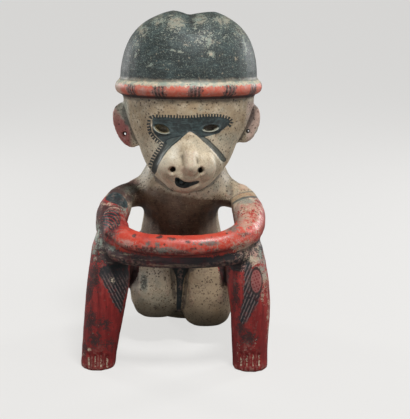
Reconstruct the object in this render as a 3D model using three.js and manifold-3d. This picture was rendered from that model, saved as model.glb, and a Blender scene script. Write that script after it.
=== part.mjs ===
// A hollow-built earthenware figure of West Mexican type, 335 mm tall: a seated person in a
// two-lobed cap with a rolled brim, knees drawn up, forearms folded one on the other across them.
// Millimetres, +Z up, the face towards -Y and the viewer's right at +X.
// Every form is a closed skin of rows, and the forms are fused into one clay body.

import * as THREE from 'three';
import { mergeVertices } from 'three/addons/utils/BufferGeometryUtils.js';
import Module from 'manifold-3d';

const wasm = await Module();
wasm.setup();

const { lerp, smoothstep, degToRad } = THREE.MathUtils;

// Driving sizes of the body

const SEAT_HALF_WIDTH = 30;
const SEAT_FRONT = 64;
const SEAT_SHIFT = 10;
const HIP_HALF_WIDTH = 49;
const HIP_HEIGHT = 46;
const RUMP_DEPTH = 98;
const WAIST_HALF_WIDTH = 37.5;
const WAIST_HEIGHT = 126;
const BACK_DEPTH = 62;
const CHEST_DEPTH = 34;
const SHOULDER_HALF_WIDTH = 51;
const SHOULDER_HEIGHT = 158;
const NECK_HALF_WIDTH = 41;
const NECK_HEIGHT = 178;

const LOBE_HALF_WIDTH = 27.5;
const LOBE_HEIGHT = 91;
const LOBE_HALF_DEPTH = 48;
const LOBE_LIFT = 16.5;
const LOBE_STEP = 9;
const LOBE_FULLNESS = 3.2;
const LOINCLOTH_WIDTH = 13;
const LOINCLOTH_LENGTH = 66;

// Driving sizes of the arms and legs

const ARM_SPREAD = 66;
const ARM_SHIFT = 2.6;
const ARM_RADIUS = 16;
const SHOULDER_RADIUS = 12.5;
const FOREARM_RADIUS = 10.8;
const ELBOW_HEIGHT = 141;
const FOREARM_HEIGHT = 128.7;
const FOREARM_DROP = 12.7;
const FOREARM_SETBACK = 5;
const ARM_REACH = 112;

const HAND_LENGTH = 19;
const HAND_WIDTH = 22;
const FINGER_COUNT = 4;

const KNEE_HEIGHT = 126;
const KNEE_SPREAD = 65;
const FOOT_SPREAD = 74;
const FOOT_SPLAY = 3;
const SHIN_FORWARD = 80;
const CALF_HALF_WIDTH = 20;
const FOOT_HALF_WIDTH = 16.5;
const SHIN_HALF_DEPTH = 18.5;
const THIGH_RADIUS = 21;
const TOE_COUNT = 5;
const TOE_GROOVE = 2.2;
const TOE_LENGTH = 9;

// Driving sizes of the head

const HEAD_SHIFT = 9.5;
const HEAD_FORWARD = 8;
const HEAD_TILT = degToRad(-5.6);
const NECK_TO_BRIM = 84;
const FACE_HEIGHT = 100;
const BROW_HALF_WIDTH = 64;
const HEAD_HALF_DEPTH = 57;
const MUZZLE_REACH = 18;

const CAP_HALF_WIDTH = 67;
const CAP_HALF_DEPTH = 59;
const CAP_HEIGHT = 72.5;
const CAP_FULLNESS = 2.55;
const CAP_LEAN = 0.08;
const CLEFT_DEPTH = 5;
const CLEFT_REACH = 20;
const CLEFT_SHIFT = 4.3;
const BRIM_ROLL = 8;
const BRIM_OVERHANG = 5;

const EAR_HEIGHT = 46;
const EAR_DIFFERENCE = 5;
const EAR_LENGTH = 33;
const EAR_THICKNESS = 9;
const EAR_DROP = 38;
const EAR_LEAN = degToRad(18);
const EAR_SPLAY = degToRad(24);
const EAR_HOLE_RADIUS = 2.2;

const EYE_SPACING = 46.3;
const EYE_DROP = 37;
const EYE_LENGTH = 17;
const EYE_OPENING = 8;
const EYE_SLOPE = degToRad(14);
const NOSE_SHIFT = 3;
const NOSE_WIDTH = 19;
const NOSE_DROP = 47;
const NOSE_LENGTH = 31;
const NOSE_REACH = 10;
const NOSTRIL_SPACING = 26;
const NOSTRIL_DROP = 75.5;
const NOSTRIL_RADIUS = 2.7;
const NOSTRIL_DEPTH = 7;
const MOUTH_DROP = 86.5;
const MOUTH_LENGTH = 24;
const MOUTH_OPENING = 5;
const CARVING_DEPTH = 2.6;

// Forms

const point = (x, y, z) => new THREE.Vector3(x, y, z);
const hump = (distance) => Math.exp(-distance * distance);

// A closed skin: each row of points runs once round, and the first and last rows close to a point.
// place(share, turn, end) gives the point at a share of the way down and an angle round.
function skin(around, rows, place) {
  const geometry = new THREE.SphereGeometry(1, around, rows);
  const position = geometry.attributes.position;
  for (let i = 0; i < position.count; i += 1) {
    const row = Math.floor(i / (around + 1));
    const turn = ((i % (around + 1)) % around) * ((2 * Math.PI) / around);
    const end = row === 0 || row === rows;
    const share = (Math.min(Math.max(row, 1), rows - 1) - 1) / (rows - 2);
    const p = place(share, turn, end);
    position.setXYZ(i, p.x, p.y, p.z);
  }
  return geometry;
}

// A value between the stations of a list, on a Catmull-Rom curve.
function between(stations, key, share) {
  const last = stations.length - 1;
  const along = Math.min(share * last, last - 1e-9);
  const i = Math.floor(along);
  const at = (k) => stations[Math.min(Math.max(k, 0), last)][key];
  const t = along - i;
  const [a, b, c, d] = [at(i - 1), at(i), at(i + 1), at(i + 2)];
  return b + 0.5 * t * (c - a + t * (2 * a - 5 * b + 4 * c - d + t * (3 * (b - c) + d - a)));
}

// A rounded body through stations listed from the top down, each with a height z, a middle x,
// a half width, and the depths of its front and back.
function loft(stations, around, rows, swell = () => 0) {
  return skin(around, rows, (share, turn, end) => {
    const at = (key) => between(stations, key, share);
    const side = end ? 0 : -Math.cos(turn);
    const front = end ? 0 : Math.sin(turn);
    const middle = (at('back') - at('front')) / 2;
    const half = (at('back') + at('front')) / 2;
    const p = point(at('x') + side * at('wide'), middle - front * half, at('z'));
    p.y -= Math.abs(front) * swell(p, side, front);
    return p;
  });
}

// A limb along a smooth curve through its stations. Each station has a point and two radii, one
// along the reference direction and one across it; ends says how much of each end is round.
function limb(stations, reference, around, rows, ends = [0.06, 0.06]) {
  const curve = new THREE.CatmullRomCurve3(stations.map((s) => s.at));
  return skin(around, rows, (share, turn, end) => {
    const tangent = curve.getTangent(share);
    const up = reference.clone().addScaledVector(tangent, -reference.dot(tangent)).normalize();
    const side = tangent.clone().cross(up);
    const edge = Math.max(0, 1 - share / ends[0], 1 - (1 - share) / ends[1]);
    const girth = end ? 0 : Math.sqrt(Math.max(1 - edge * edge, 0.12));
    return curve
      .getPoint(share)
      .addScaledVector(up, -Math.cos(turn) * girth * between(stations, 'along', share))
      .addScaledVector(side, Math.sin(turn) * girth * between(stations, 'across', share));
  });
}

const station = (x, y, z, along, across = along) => ({ at: point(x, y, z), along, across });

// A rounded lump with half sizes along its own axes, placed by a centre and three turns. A
// fullness above 2 makes it squarer than an egg.
function lump(centre, halves, turns = [0, 0, 0], around = 16, rows = 10, fullness = 2) {
  const geometry = new THREE.SphereGeometry(1, around, rows);
  const position = geometry.attributes.position;
  for (let i = 0; i < position.count; i += 1) {
    const p = point().fromBufferAttribute(position, i);
    const reach = p.toArray().reduce((sum, v) => sum + Math.abs(v) ** fullness, 0);
    p.multiplyScalar(reach ** (-1 / fullness));
    position.setXYZ(i, p.x, p.y, p.z);
  }
  geometry.rotateX(Math.PI / 2);
  geometry.scale(halves.x, halves.y, halves.z);
  const place = new THREE.Matrix4().makeRotationFromEuler(new THREE.Euler(...turns));
  return geometry.applyMatrix4(place.setPosition(centre));
}

// A round bar from one point to another.
function bar(from, to, radius, sides = 8) {
  const geometry = new THREE.CylinderGeometry(radius, radius, from.distanceTo(to), sides);
  const way = to.clone().sub(from).normalize();
  geometry.applyQuaternion(new THREE.Quaternion().setFromUnitVectors(point(0, 1, 0), way));
  const middle = from.clone().lerp(to, 0.5);
  return geometry.translate(middle.x, middle.y, middle.z);
}

// Clay: fusing and cutting

function clay(geometry) {
  const bare = geometry.clone();
  bare.deleteAttribute('normal');
  bare.deleteAttribute('uv');
  const merged = mergeVertices(bare, 1e-3);
  return new wasm.Manifold(
    new wasm.Mesh({
      numProp: 3,
      vertProperties: new Float32Array(merged.attributes.position.array),
      triVerts: new Uint32Array(merged.index.array),
    }),
  );
}

const fuse = (geometries) => geometries.map(clay).reduce((whole, piece) => whole.add(piece));

function geometryOf(solid) {
  const mesh = solid.getMesh();
  const geometry = new THREE.BufferGeometry();
  geometry.setAttribute('position', new THREE.BufferAttribute(mesh.vertProperties, 3));
  geometry.setIndex(new THREE.BufferAttribute(mesh.triVerts, 1));
  geometry.computeVertexNormals();
  return geometry;
}

// Torso: neck, shoulders, waist, rump and the flat seat in one body

function torso() {
  const hipToWaist = (share) => lerp(HIP_HEIGHT, WAIST_HEIGHT, share);
  const slope = lerp(SHOULDER_HEIGHT, NECK_HEIGHT, 0.45);
  const armpit = lerp(WAIST_HEIGHT, SHOULDER_HEIGHT, 0.68);
  const belly = CHEST_DEPTH + 3;
  const furrow = (p, side, front) =>
    front < 0 ? 6 * hump(side / 0.16) * hump((p.z - HIP_HEIGHT) / 34) : 0;
  return loft(
    [
      { z: NECK_HEIGHT + 14, x: 6, wide: NECK_HALF_WIDTH - 8, front: CHEST_DEPTH - 12, back: 38 },
      { z: NECK_HEIGHT, x: 5, wide: NECK_HALF_WIDTH, front: CHEST_DEPTH - 7, back: 42 },
      { z: slope, x: 4.5, wide: NECK_HALF_WIDTH + 5, front: CHEST_DEPTH - 3, back: 47 },
      { z: SHOULDER_HEIGHT, x: 3.5, wide: SHOULDER_HALF_WIDTH, front: CHEST_DEPTH - 1, back: 51 },
      { z: armpit, x: 2, wide: SHOULDER_HALF_WIDTH - 5, front: CHEST_DEPTH, back: 55 },
      { z: WAIST_HEIGHT + 10, x: 0.5, wide: WAIST_HALF_WIDTH + 0.5, front: CHEST_DEPTH, back: 58 },
      { z: WAIST_HEIGHT - 4, x: 0, wide: WAIST_HALF_WIDTH + 1, front: belly, back: BACK_DEPTH },
      { z: hipToWaist(0.7), x: 0, wide: WAIST_HALF_WIDTH + 5, front: belly, back: BACK_DEPTH + 6 },
      { z: hipToWaist(0.35), x: 0, wide: HIP_HALF_WIDTH - 2, front: 26, back: RUMP_DEPTH - 10 },
      { z: HIP_HEIGHT, x: 0, wide: HIP_HALF_WIDTH, front: 10, back: RUMP_DEPTH },
      { z: HIP_HEIGHT * 0.4, x: 2, wide: HIP_HALF_WIDTH - 6, front: -14, back: RUMP_DEPTH - 2 },
      { z: -2, x: SEAT_SHIFT, wide: SEAT_HALF_WIDTH, front: -SEAT_FRONT, back: RUMP_DEPTH - 12 },
    ],
    24,
    20,
    furrow,
  );
}

// The shoulder rounds off where the neck's slope meets the arm.
const shoulder = (side) =>
  lump(
    point(ARM_SHIFT + side * (SHOULDER_HALF_WIDTH - 5), 12, SHOULDER_HEIGHT - 7),
    point(SHOULDER_RADIUS * 1.8, SHOULDER_RADIUS * 2.4, SHOULDER_RADIUS * 1.05),
    [0, side * 0.45, 0],
    14,
    10,
  );

// The two rounded lobes of the seat, seen between the shins: the left one rides higher.
const seatLobe = (side) =>
  lump(
    point(side * (LOBE_HALF_WIDTH - 1.5) + 1, 14, (LOBE_HEIGHT - side * LOBE_STEP) / 2 + LOBE_LIFT),
    point(LOBE_HALF_WIDTH + side * 0.5, LOBE_HALF_DEPTH, LOBE_HEIGHT / 2),
    [-0.12, 0, 0],
    18,
    12,
    LOBE_FULLNESS,
  );

// The strip of the loincloth hangs between the lobes, widest at the waist.
function loincloth() {
  const stations = [0, 0.25, 0.6, 1].map((share) =>
    station(
      lerp(2, -1, share),
      lerp(-32, -19, share ** 0.6),
      LOINCLOTH_LENGTH * (1 - share) + LOBE_LIFT * 2,
      (LOINCLOTH_WIDTH / 2) * lerp(1.3, 0.5, share),
      6,
    ),
  );
  return limb(stations, point(1, 0, 0), 10, 10);
}

// Arms: each runs from its shoulder out to the elbow on the knee, and its forearm across the front

const ringPlace = (share) => ({
  x: Math.cos(share * Math.PI) * (ARM_SPREAD - 4),
  y: -72 - (ARM_REACH - 72) * Math.sin(share * Math.PI) ** 0.68,
});

// The lower forearm is set back and thinner; the end of the upper one swells over the elbow.
function foldedArm(side, drop, setback, endLift, endSwell) {
  const mid = ARM_SHIFT;
  const radius = FOREARM_RADIUS - setback / 4;
  const forearm = (share, lift, thick, back = 0) => {
    const { x, y } = ringPlace(share);
    const inwards = setback * Math.sin(share * Math.PI) ** 3 + back;
    const height = FOREARM_HEIGHT - drop + lift;
    return station(mid + side * x, y + inwards, height, radius + thick);
  };
  return limb(
    [
      station(mid + side * (ARM_SPREAD - 26), 12, SHOULDER_HEIGHT - 5.5, SHOULDER_RADIUS + 1),
      station(mid + side * (ARM_SPREAD - 9), -4, SHOULDER_HEIGHT - 7, SHOULDER_RADIUS + 0.5),
      station(mid + side * ARM_SPREAD, -38, ELBOW_HEIGHT + 1, ARM_RADIUS),
      station(mid + side * ARM_SPREAD, -66, ELBOW_HEIGHT - 6 - drop / 3, ARM_RADIUS - 1.5),
      forearm(0.13, 4, 2),
      forearm(0.3, 1, 0.2),
      forearm(0.5, 0, 0),
      forearm(0.7, 1, endSwell * 0.1),
      forearm(0.87, endLift * 0.45, endSwell * 0.6),
      forearm(1, endLift, endSwell, 10),
    ],
    point(0, 0, 1),
    10,
    22,
  );
}

// The hand of the upper forearm lies flat on the elbow at the viewer's left, its fingers outwards.
const handPlace = point(ARM_SHIFT - ARM_SPREAD + 2, -70, ELBOW_HEIGHT + 6);
const handTurns = [0.5, -0.3, 0.1];

const hand = () => lump(handPlace, point(HAND_LENGTH / 2, HAND_WIDTH / 2, 6), handTurns, 14, 8);

function fingerGrooves() {
  const turned = new THREE.Matrix4().makeRotationFromEuler(new THREE.Euler(...handTurns));
  return Array.from({ length: FINGER_COUNT - 1 }, (_, i) => {
    const share = (i + 1) / FINGER_COUNT - 0.5;
    const place = point(-HAND_LENGTH * 0.3, share * HAND_WIDTH, 5.5).applyMatrix4(turned).add(handPlace);
    return lump(place, point(HAND_LENGTH * 0.34, 0.7, 2.2), handTurns, 6, 4);
  });
}

// Legs: a shin like a post with its sole on the ground, and a thigh back to the hip

const footSpread = (side) => FOOT_SPREAD - side * FOOT_SPLAY;

function leg(side) {
  const deep = SHIN_HALF_DEPTH;
  const foot = footSpread(side);
  const calf = lerp(KNEE_SPREAD, FOOT_SPREAD, 0.5);
  const shin = limb(
    [
      station(side * lerp(calf, foot, 1.2), -SHIN_FORWARD, -18, FOOT_HALF_WIDTH, deep - 1),
      station(side * lerp(foot, calf, 0.35), -SHIN_FORWARD, 24, FOOT_HALF_WIDTH + 1, deep - 0.5),
      station(side * calf + 1, -SHIN_FORWARD, 62, CALF_HALF_WIDTH - 0.5, deep + 1),
      station(side * (KNEE_SPREAD + 1) + 1.5, -SHIN_FORWARD + 1, 92, CALF_HALF_WIDTH, deep + 2),
      station(side * (KNEE_SPREAD - 1), -SHIN_FORWARD + 6, KNEE_HEIGHT, CALF_HALF_WIDTH - 5, deep - 3),
      station(side * (KNEE_SPREAD - 3), -SHIN_FORWARD + 10, KNEE_HEIGHT + 12, 7, 8),
    ],
    point(1, 0, 0),
    14,
    14,
    [0.02, 0.06],
  );
  const thigh = limb(
    [
      station(side * KNEE_SPREAD, -SHIN_FORWARD + 4, KNEE_HEIGHT - 26, THIGH_RADIUS - 4),
      station(side * (KNEE_SPREAD + 1), -44, KNEE_HEIGHT - 34, THIGH_RADIUS - 1),
      station(side * (HIP_HALF_WIDTH + 11), -8, HIP_HEIGHT + 34, THIGH_RADIUS - 1, THIGH_RADIUS + 1),
      station(side * (HIP_HALF_WIDTH - 9), 34, HIP_HEIGHT + 18, THIGH_RADIUS + 4, THIGH_RADIUS + 6),
    ],
    point(1, 0, 0),
    12,
    10,
    [0.2, 0.3],
  );
  return [shin, thigh];
}

function toeGrooves(side) {
  return Array.from({ length: TOE_COUNT - 1 }, (_, i) => {
    const share = (i + 1) / TOE_COUNT - 0.5;
    const x = side * footSpread(side) + share * 2 * FOOT_HALF_WIDTH * 0.95;
    const y = -SHIN_FORWARD - (SHIN_HALF_DEPTH - 1) * Math.sqrt(1 - 4 * share * share * 0.9);
    return lump(point(x, y, 0), point(TOE_GROOVE / 2, 3, TOE_LENGTH), [0, 0, 0], 6, 6);
  });
}

// Head, in its own frame: its middle at the level of the brim, which is its zero height

const faceShape = [
  { drop: -0.04, wide: 0.97, front: 0.97, back: 0.92 },
  { drop: 0.1, wide: 1, front: 1, back: 0.95 },
  { drop: 0.24, wide: 0.965, front: 1, back: 0.96 },
  { drop: 0.4, wide: 0.875, front: 0.98, back: 0.93 },
  { drop: 0.56, wide: 0.745, front: 0.96, back: 0.86 },
  { drop: 0.72, wide: 0.65, front: 0.93, back: 0.77 },
  { drop: 0.85, wide: 0.5, front: 0.92, back: 0.6 },
  { drop: 0.935, wide: 0.34, front: 0.84, back: 0.48 },
  { drop: 0.98, wide: 0.18, front: 0.6, back: 0.35 },
];

function muzzle(p, side, front) {
  const reach = MUZZLE_REACH * hump(side / 0.72) * hump((p.z / FACE_HEIGHT + 0.81) / 0.27);
  return front > 0 ? reach : 0;
}

function face() {
  return loft(
    faceShape.map(({ drop, wide, front, back }) => ({
      z: -drop * FACE_HEIGHT,
      x: -1.5 * smoothstep(drop, 0.3, 0.7),
      wide: wide * BROW_HALF_WIDTH,
      front: front * HEAD_HALF_DEPTH,
      back: back * HEAD_HALF_DEPTH,
    })),
    30,
    16,
    muzzle,
  );
}

// The crown: half of a rounded body whose top falls to a cleft between two lobes.
function cap() {
  return skin(34, 13, (share, turn, end) => {
    const fall = end && share < 0.5 ? 0 : lerp(0.05, 0.503, share) * Math.PI;
    const side = end ? 0 : -Math.cos(turn);
    const round = 2 / (CAP_FULLNESS + CAP_LEAN * side);
    const reach = end ? 0 : Math.sin(fall) ** round;
    const rise = Math.sign(Math.cos(fall)) * Math.abs(Math.cos(fall)) ** round;
    const x = side * reach * CAP_HALF_WIDTH;
    const y = -Math.sin(turn) * reach * CAP_HALF_DEPTH;
    const away = Math.abs(x - CLEFT_SHIFT) / CLEFT_REACH;
    const cleft = CLEFT_DEPTH * Math.max(0, 1 - away) ** 1.5 - 1.4 * hump((away - 1) / 0.6);
    return point(x, y, rise * CAP_HEIGHT - cleft * smoothstep(rise, 0.6, 0.95));
  });
}

function brim() {
  const geometry = new THREE.TorusGeometry(1, BRIM_ROLL / CAP_HALF_WIDTH, 8, 34);
  const position = geometry.attributes.position;
  const [wide, deep] = [CAP_HALF_WIDTH, CAP_HALF_DEPTH].map((half) => half + BRIM_OVERHANG - BRIM_ROLL);
  for (let i = 0; i < position.count; i += 1) {
    const p = point().fromBufferAttribute(position, i);
    const out = point(p.x, p.y, 0).normalize();
    const roll = p.sub(out).multiplyScalar(CAP_HALF_WIDTH);
    position.setXYZ(i, out.x * wide + roll.x, out.y * deep + roll.y, roll.z);
  }
  return geometry;
}

// The ear at the viewer's right is the smaller one, and sits a little higher.
const earHeight = (side) => EAR_HEIGHT - (side > 0 ? EAR_DIFFERENCE : 0);

function earRoot(side) {
  const rise = (EAR_HEIGHT - earHeight(side)) / 2;
  return point(side * (BROW_HALF_WIDTH - 7) - 2, 2, rise - EAR_DROP);
}

const ear = (side) =>
  lump(
    earRoot(side),
    point(EAR_LENGTH / 2 - Math.max(side, 0), EAR_THICKNESS / 2, earHeight(side) / 2),
    [0, side * EAR_LEAN, side * EAR_SPLAY],
    14,
    9,
    2.3,
  );

function earHole(side) {
  const middle = earRoot(side).add(point(side * 3.5, 0, -earHeight(side) * 0.2));
  const through = point(0, EAR_THICKNESS * 2, 0);
  return bar(middle.clone().sub(through), middle.clone().add(through), EAR_HOLE_RADIUS);
}

// How far forward the face stands at a place across it and down it.
function faceFront(x, drop) {
  const ray = new THREE.Raycaster(point(x, -400, -drop), point(0, 1, 0));
  const mesh = new THREE.Mesh(face(), new THREE.MeshBasicMaterial({ side: THREE.DoubleSide }));
  return ray.intersectObject(mesh)[0].point.y;
}

function nose() {
  const tipDrop = NOSE_DROP + NOSE_LENGTH;
  const bridge = point(NOSE_SHIFT - 1, faceFront(NOSE_SHIFT, NOSE_DROP) + 3, -NOSE_DROP);
  const tip = point(NOSE_SHIFT, faceFront(NOSE_SHIFT, tipDrop) + 2, -tipDrop);
  return limb(
    [
      { at: bridge, along: NOSE_WIDTH * 0.32, across: NOSE_REACH * 0.5 },
      { at: bridge.clone().lerp(tip, 0.4), along: NOSE_WIDTH * 0.38, across: NOSE_REACH * 0.7 },
      { at: bridge.clone().lerp(tip, 0.8), along: NOSE_WIDTH * 0.44, across: NOSE_REACH * 0.9 },
      { at: tip, along: NOSE_WIDTH * 0.44, across: NOSE_REACH * 0.85 },
    ],
    point(1, 0, 0),
    12,
    10,
    [0.4, 0.3],
  );
}

function nostrilPlace(side) {
  const x = (side * NOSTRIL_SPACING) / 2;
  return point(x, faceFront(x, NOSTRIL_DROP), -NOSTRIL_DROP);
}

const nostrilWing = (side) =>
  lump(
    nostrilPlace(side).add(point(side, 9.5, 3)),
    point(NOSTRIL_SPACING / 2, 12.5, 14),
    [0, 0, 0],
    12,
    9,
  );

function nostril(side) {
  const opening = nostrilPlace(side);
  const deep = opening.clone().add(point(0, NOSTRIL_DEPTH, 1));
  return bar(opening.add(point(0, -8, -1)), deep, NOSTRIL_RADIUS);
}

function eyePlace(side) {
  const x = side * (EYE_SPACING / 2);
  return point(x - 0.6, faceFront(x, EYE_DROP), -EYE_DROP);
}

const eyeTurns = (side) => [0, -side * EYE_SLOPE, side * 0.32];

const eyeLid = (side) =>
  lump(
    eyePlace(side).add(point(0, 2.2, 0)),
    point(EYE_LENGTH / 2 + 2, 3.6, EYE_OPENING / 2 + 2),
    eyeTurns(side),
    12,
    8,
  );

const eyeHollow = (side) =>
  lump(
    eyePlace(side).add(point(0, -1.2, 0)),
    point(EYE_LENGTH / 2, CARVING_DEPTH + 1, EYE_OPENING / 2),
    eyeTurns(side),
    12,
    8,
  );

function mouth() {
  const stations = [-1, -0.4, 0.3, 1].map((share) => {
    const x = 1.5 + (share * MOUTH_LENGTH) / 2;
    const drop = MOUTH_DROP - 2.5 * share * share;
    const opening = (MOUTH_OPENING / 2) * lerp(1.1, 0.7, (share + 1) / 2);
    return station(x, faceFront(x, drop), -drop, opening, CARVING_DEPTH);
  });
  return limb(stations, point(0, 0, 1), 8, 10);
}

// Assembly

const headFrame = new THREE.Matrix4()
  .makeRotationX(HEAD_TILT)
  .setPosition(HEAD_SHIFT, -HEAD_FORWARD, NECK_HEIGHT + NECK_TO_BRIM);

const onHead = (geometries) => geometries.map((geometry) => geometry.applyMatrix4(headFrame));

const sides = [-1, 1];

const modelled = fuse([
  torso(),
  ...sides.map(shoulder),
  ...sides.map(seatLobe),
  loincloth(),
  foldedArm(1, 0, 0, 12, 3.2),
  foldedArm(-1, FOREARM_DROP, FOREARM_SETBACK, 4, 0),
  hand(),
  ...sides.flatMap(leg),
  ...onHead([
    face(),
    cap(),
    brim(),
    ...sides.map(ear),
    nose(),
    ...sides.map(nostrilWing),
    ...sides.map(eyeLid),
  ]),
]);

const carved = fuse([
  ...onHead([...sides.map(earHole), ...sides.map(nostril), ...sides.map(eyeHollow), mouth()]),
  ...fingerGrooves(),
  ...sides.flatMap(toeGrooves),
]);

const ground = new THREE.BoxGeometry(600, 600, 100).translate(0, 0, -50);

const body = geometryOf(modelled.subtract(carved).subtract(clay(ground)));

const figure = new THREE.Mesh(
  body,
  new THREE.MeshStandardMaterial({ color: 0xa8916f, roughness: 0.55, metalness: 0 }),
);
figure.name = 'figure';

// The origin is under the middle of the figure, on the ground.
body.computeBoundingBox();
const middle = body.boundingBox.getCenter(point());
figure.position.set(-middle.x, -middle.y, 0);

const model = new THREE.Group();
model.add(figure);

export default model;
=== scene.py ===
"""A seated earthenware figure in a domed, brimmed cap, burnished and painted with slip.

Metres, +Z up, the face towards -Y. The clay is a smoothed copy of the modelled figure, worked over with
hollows, lips and grooves, and painted in layers: cream slip first, then brown, red and blue-black.
Sizes in the clay's and the paint's own functions are millimetres, which is how they were measured.
"""
import math

import bmesh
import bpy
import numpy as np
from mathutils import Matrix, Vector
from mathutils.bvhtree import BVHTree


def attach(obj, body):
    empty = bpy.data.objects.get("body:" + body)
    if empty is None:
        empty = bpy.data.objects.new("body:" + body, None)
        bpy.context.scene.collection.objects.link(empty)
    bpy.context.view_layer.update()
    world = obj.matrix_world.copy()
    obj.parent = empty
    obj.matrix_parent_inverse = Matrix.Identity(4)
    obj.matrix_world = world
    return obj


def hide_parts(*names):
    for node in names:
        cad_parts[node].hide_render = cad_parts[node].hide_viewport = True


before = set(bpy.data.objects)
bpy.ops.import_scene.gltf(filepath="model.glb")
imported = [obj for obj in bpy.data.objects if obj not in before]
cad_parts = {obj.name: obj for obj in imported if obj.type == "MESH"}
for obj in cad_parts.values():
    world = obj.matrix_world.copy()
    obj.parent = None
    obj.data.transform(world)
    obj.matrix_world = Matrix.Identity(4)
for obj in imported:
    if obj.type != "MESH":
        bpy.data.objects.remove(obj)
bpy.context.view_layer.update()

MM = 0.001

# The view from the front, on which the painter's marks are laid out. The camera stands there too, and
# the long side of its picture takes in IMAGE_SIDE millimetres at the body's axis.

VIEW_AZIMUTH = math.radians(2.6)
VIEW_ELEVATION = math.radians(13)
VIEW_DISTANCE = 1300.0
VIEW_HEIGHT = 165.0
BODY_AXIS = np.array([1.85, 12.95])
IMAGE_SIDE = 419
IMAGE_MIDDLE = (25.0, 136.5)
SENSOR = 36.0

BACK = np.array(
    [
        math.sin(VIEW_AZIMUTH) * math.cos(VIEW_ELEVATION),
        -math.cos(VIEW_AZIMUTH) * math.cos(VIEW_ELEVATION),
        math.sin(VIEW_ELEVATION),
    ]
)
RIGHT = np.array([math.cos(VIEW_AZIMUTH), math.sin(VIEW_AZIMUTH), 0.0])
UP = np.cross(BACK, RIGHT)
TARGET = np.array([*BODY_AXIS, VIEW_HEIGHT])
EYE = TARGET + BACK * VIEW_DISTANCE


def seen(places):
    """Where points are seen from the front: across and up, in millimetres at the middle of the figure."""
    away = places - EYE
    depth = -(away @ BACK) / VIEW_DISTANCE
    return np.stack([away @ RIGHT / depth, away @ UP / depth + VIEW_HEIGHT], axis=-1)


def sight(across, up):
    """The direction from the viewer through a place in the front view."""
    aim = TARGET + RIGHT * across + UP * (up - VIEW_HEIGHT)
    way = aim - EYE
    return way / np.linalg.norm(way)


# The head's own frame: its middle at the level of the brim, which is its zero height. The stripes on
# the brim are in groups, BRIM_PITCH degrees apart.

HEAD_TILT = math.radians(-5.6)
HEAD_PLACE = np.array([BODY_AXIS[0] + 9.5, BODY_AXIS[1] - 8, 262.0])
BRIM_HALF_WIDTH = 64.0
BRIM_HALF_DEPTH = 56.0
BRIM_ROLL = 8.0
BRIM_PAINT_REACH = BRIM_ROLL + 1.2
CAP_EDGE = 8.5
STRIPE_GROUPS = 13
BRIM_PITCH = 360 / STRIPE_GROUPS
BRIM_START = 366.95


def on_head(places):
    """Points in the head's own frame."""
    x, y, z = (places - HEAD_PLACE).T
    cos, sin = math.cos(HEAD_TILT), math.sin(HEAD_TILT)
    return np.stack([x, cos * y + sin * z, -sin * y + cos * z], axis=-1)


# Measuring on the clay

KEEPING_SIZE = (0.63, -0.67)
SMOOTHING = 0.9


def falloff(distance, reach):
    return np.exp(-((distance / reach) ** 2))


def step(value, low, high):
    share = np.clip((value - low) / (high - low), 0, 1)
    return share * share * (3 - 2 * share)


def along_line(points, line):
    """Distance of 2-D or 3-D points from a broken line, the run along it, and the side they lie on."""
    line = np.asarray(line, float)
    best = np.full(len(points), np.inf)
    run = np.zeros(len(points))
    side = np.ones(len(points))
    start = 0.0
    for a, b in zip(line[:-1], line[1:]):
        way = b - a
        length = np.linalg.norm(way)
        share = np.clip((points - a) @ way / length**2, 0, 1)
        gap = points - (a + share[:, None] * way)
        distance = np.linalg.norm(gap, axis=1)
        nearer = distance < best
        best = np.where(nearer, distance, best)
        run = np.where(nearer, start + share * length, run)
        if line.shape[1] == 2:
            cross = way[0] * gap[:, 1] - way[1] * gap[:, 0]
            side = np.where(nearer, np.sign(cross), side)
        start += length
    return best, run, side


def rounded(outline, rounds):
    """A closed outline with its corners cut to curves."""
    outline = np.asarray(outline, float)
    for _ in range(rounds):
        ahead = np.roll(outline, -1, axis=0)
        outline = np.stack([0.75 * outline + 0.25 * ahead, 0.25 * outline + 0.75 * ahead], 1).reshape(-1, 2)
    return outline


def inside_by(points, outline):
    """How far points are inside a closed outline, negative outside."""
    ring = np.vstack([outline, outline[:1]])
    distance, _, _ = along_line(points, ring)
    within = np.zeros(len(points), bool)
    for (ax, ay), (bx, by) in zip(ring[:-1], ring[1:]):
        spans = (ay > points[:, 1]) != (by > points[:, 1])
        if ay != by:
            crossing = ax + (points[:, 1] - ay) / (by - ay) * (bx - ax)
            within ^= spans & (points[:, 0] < crossing)
    return np.where(within, distance, -distance)


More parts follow.
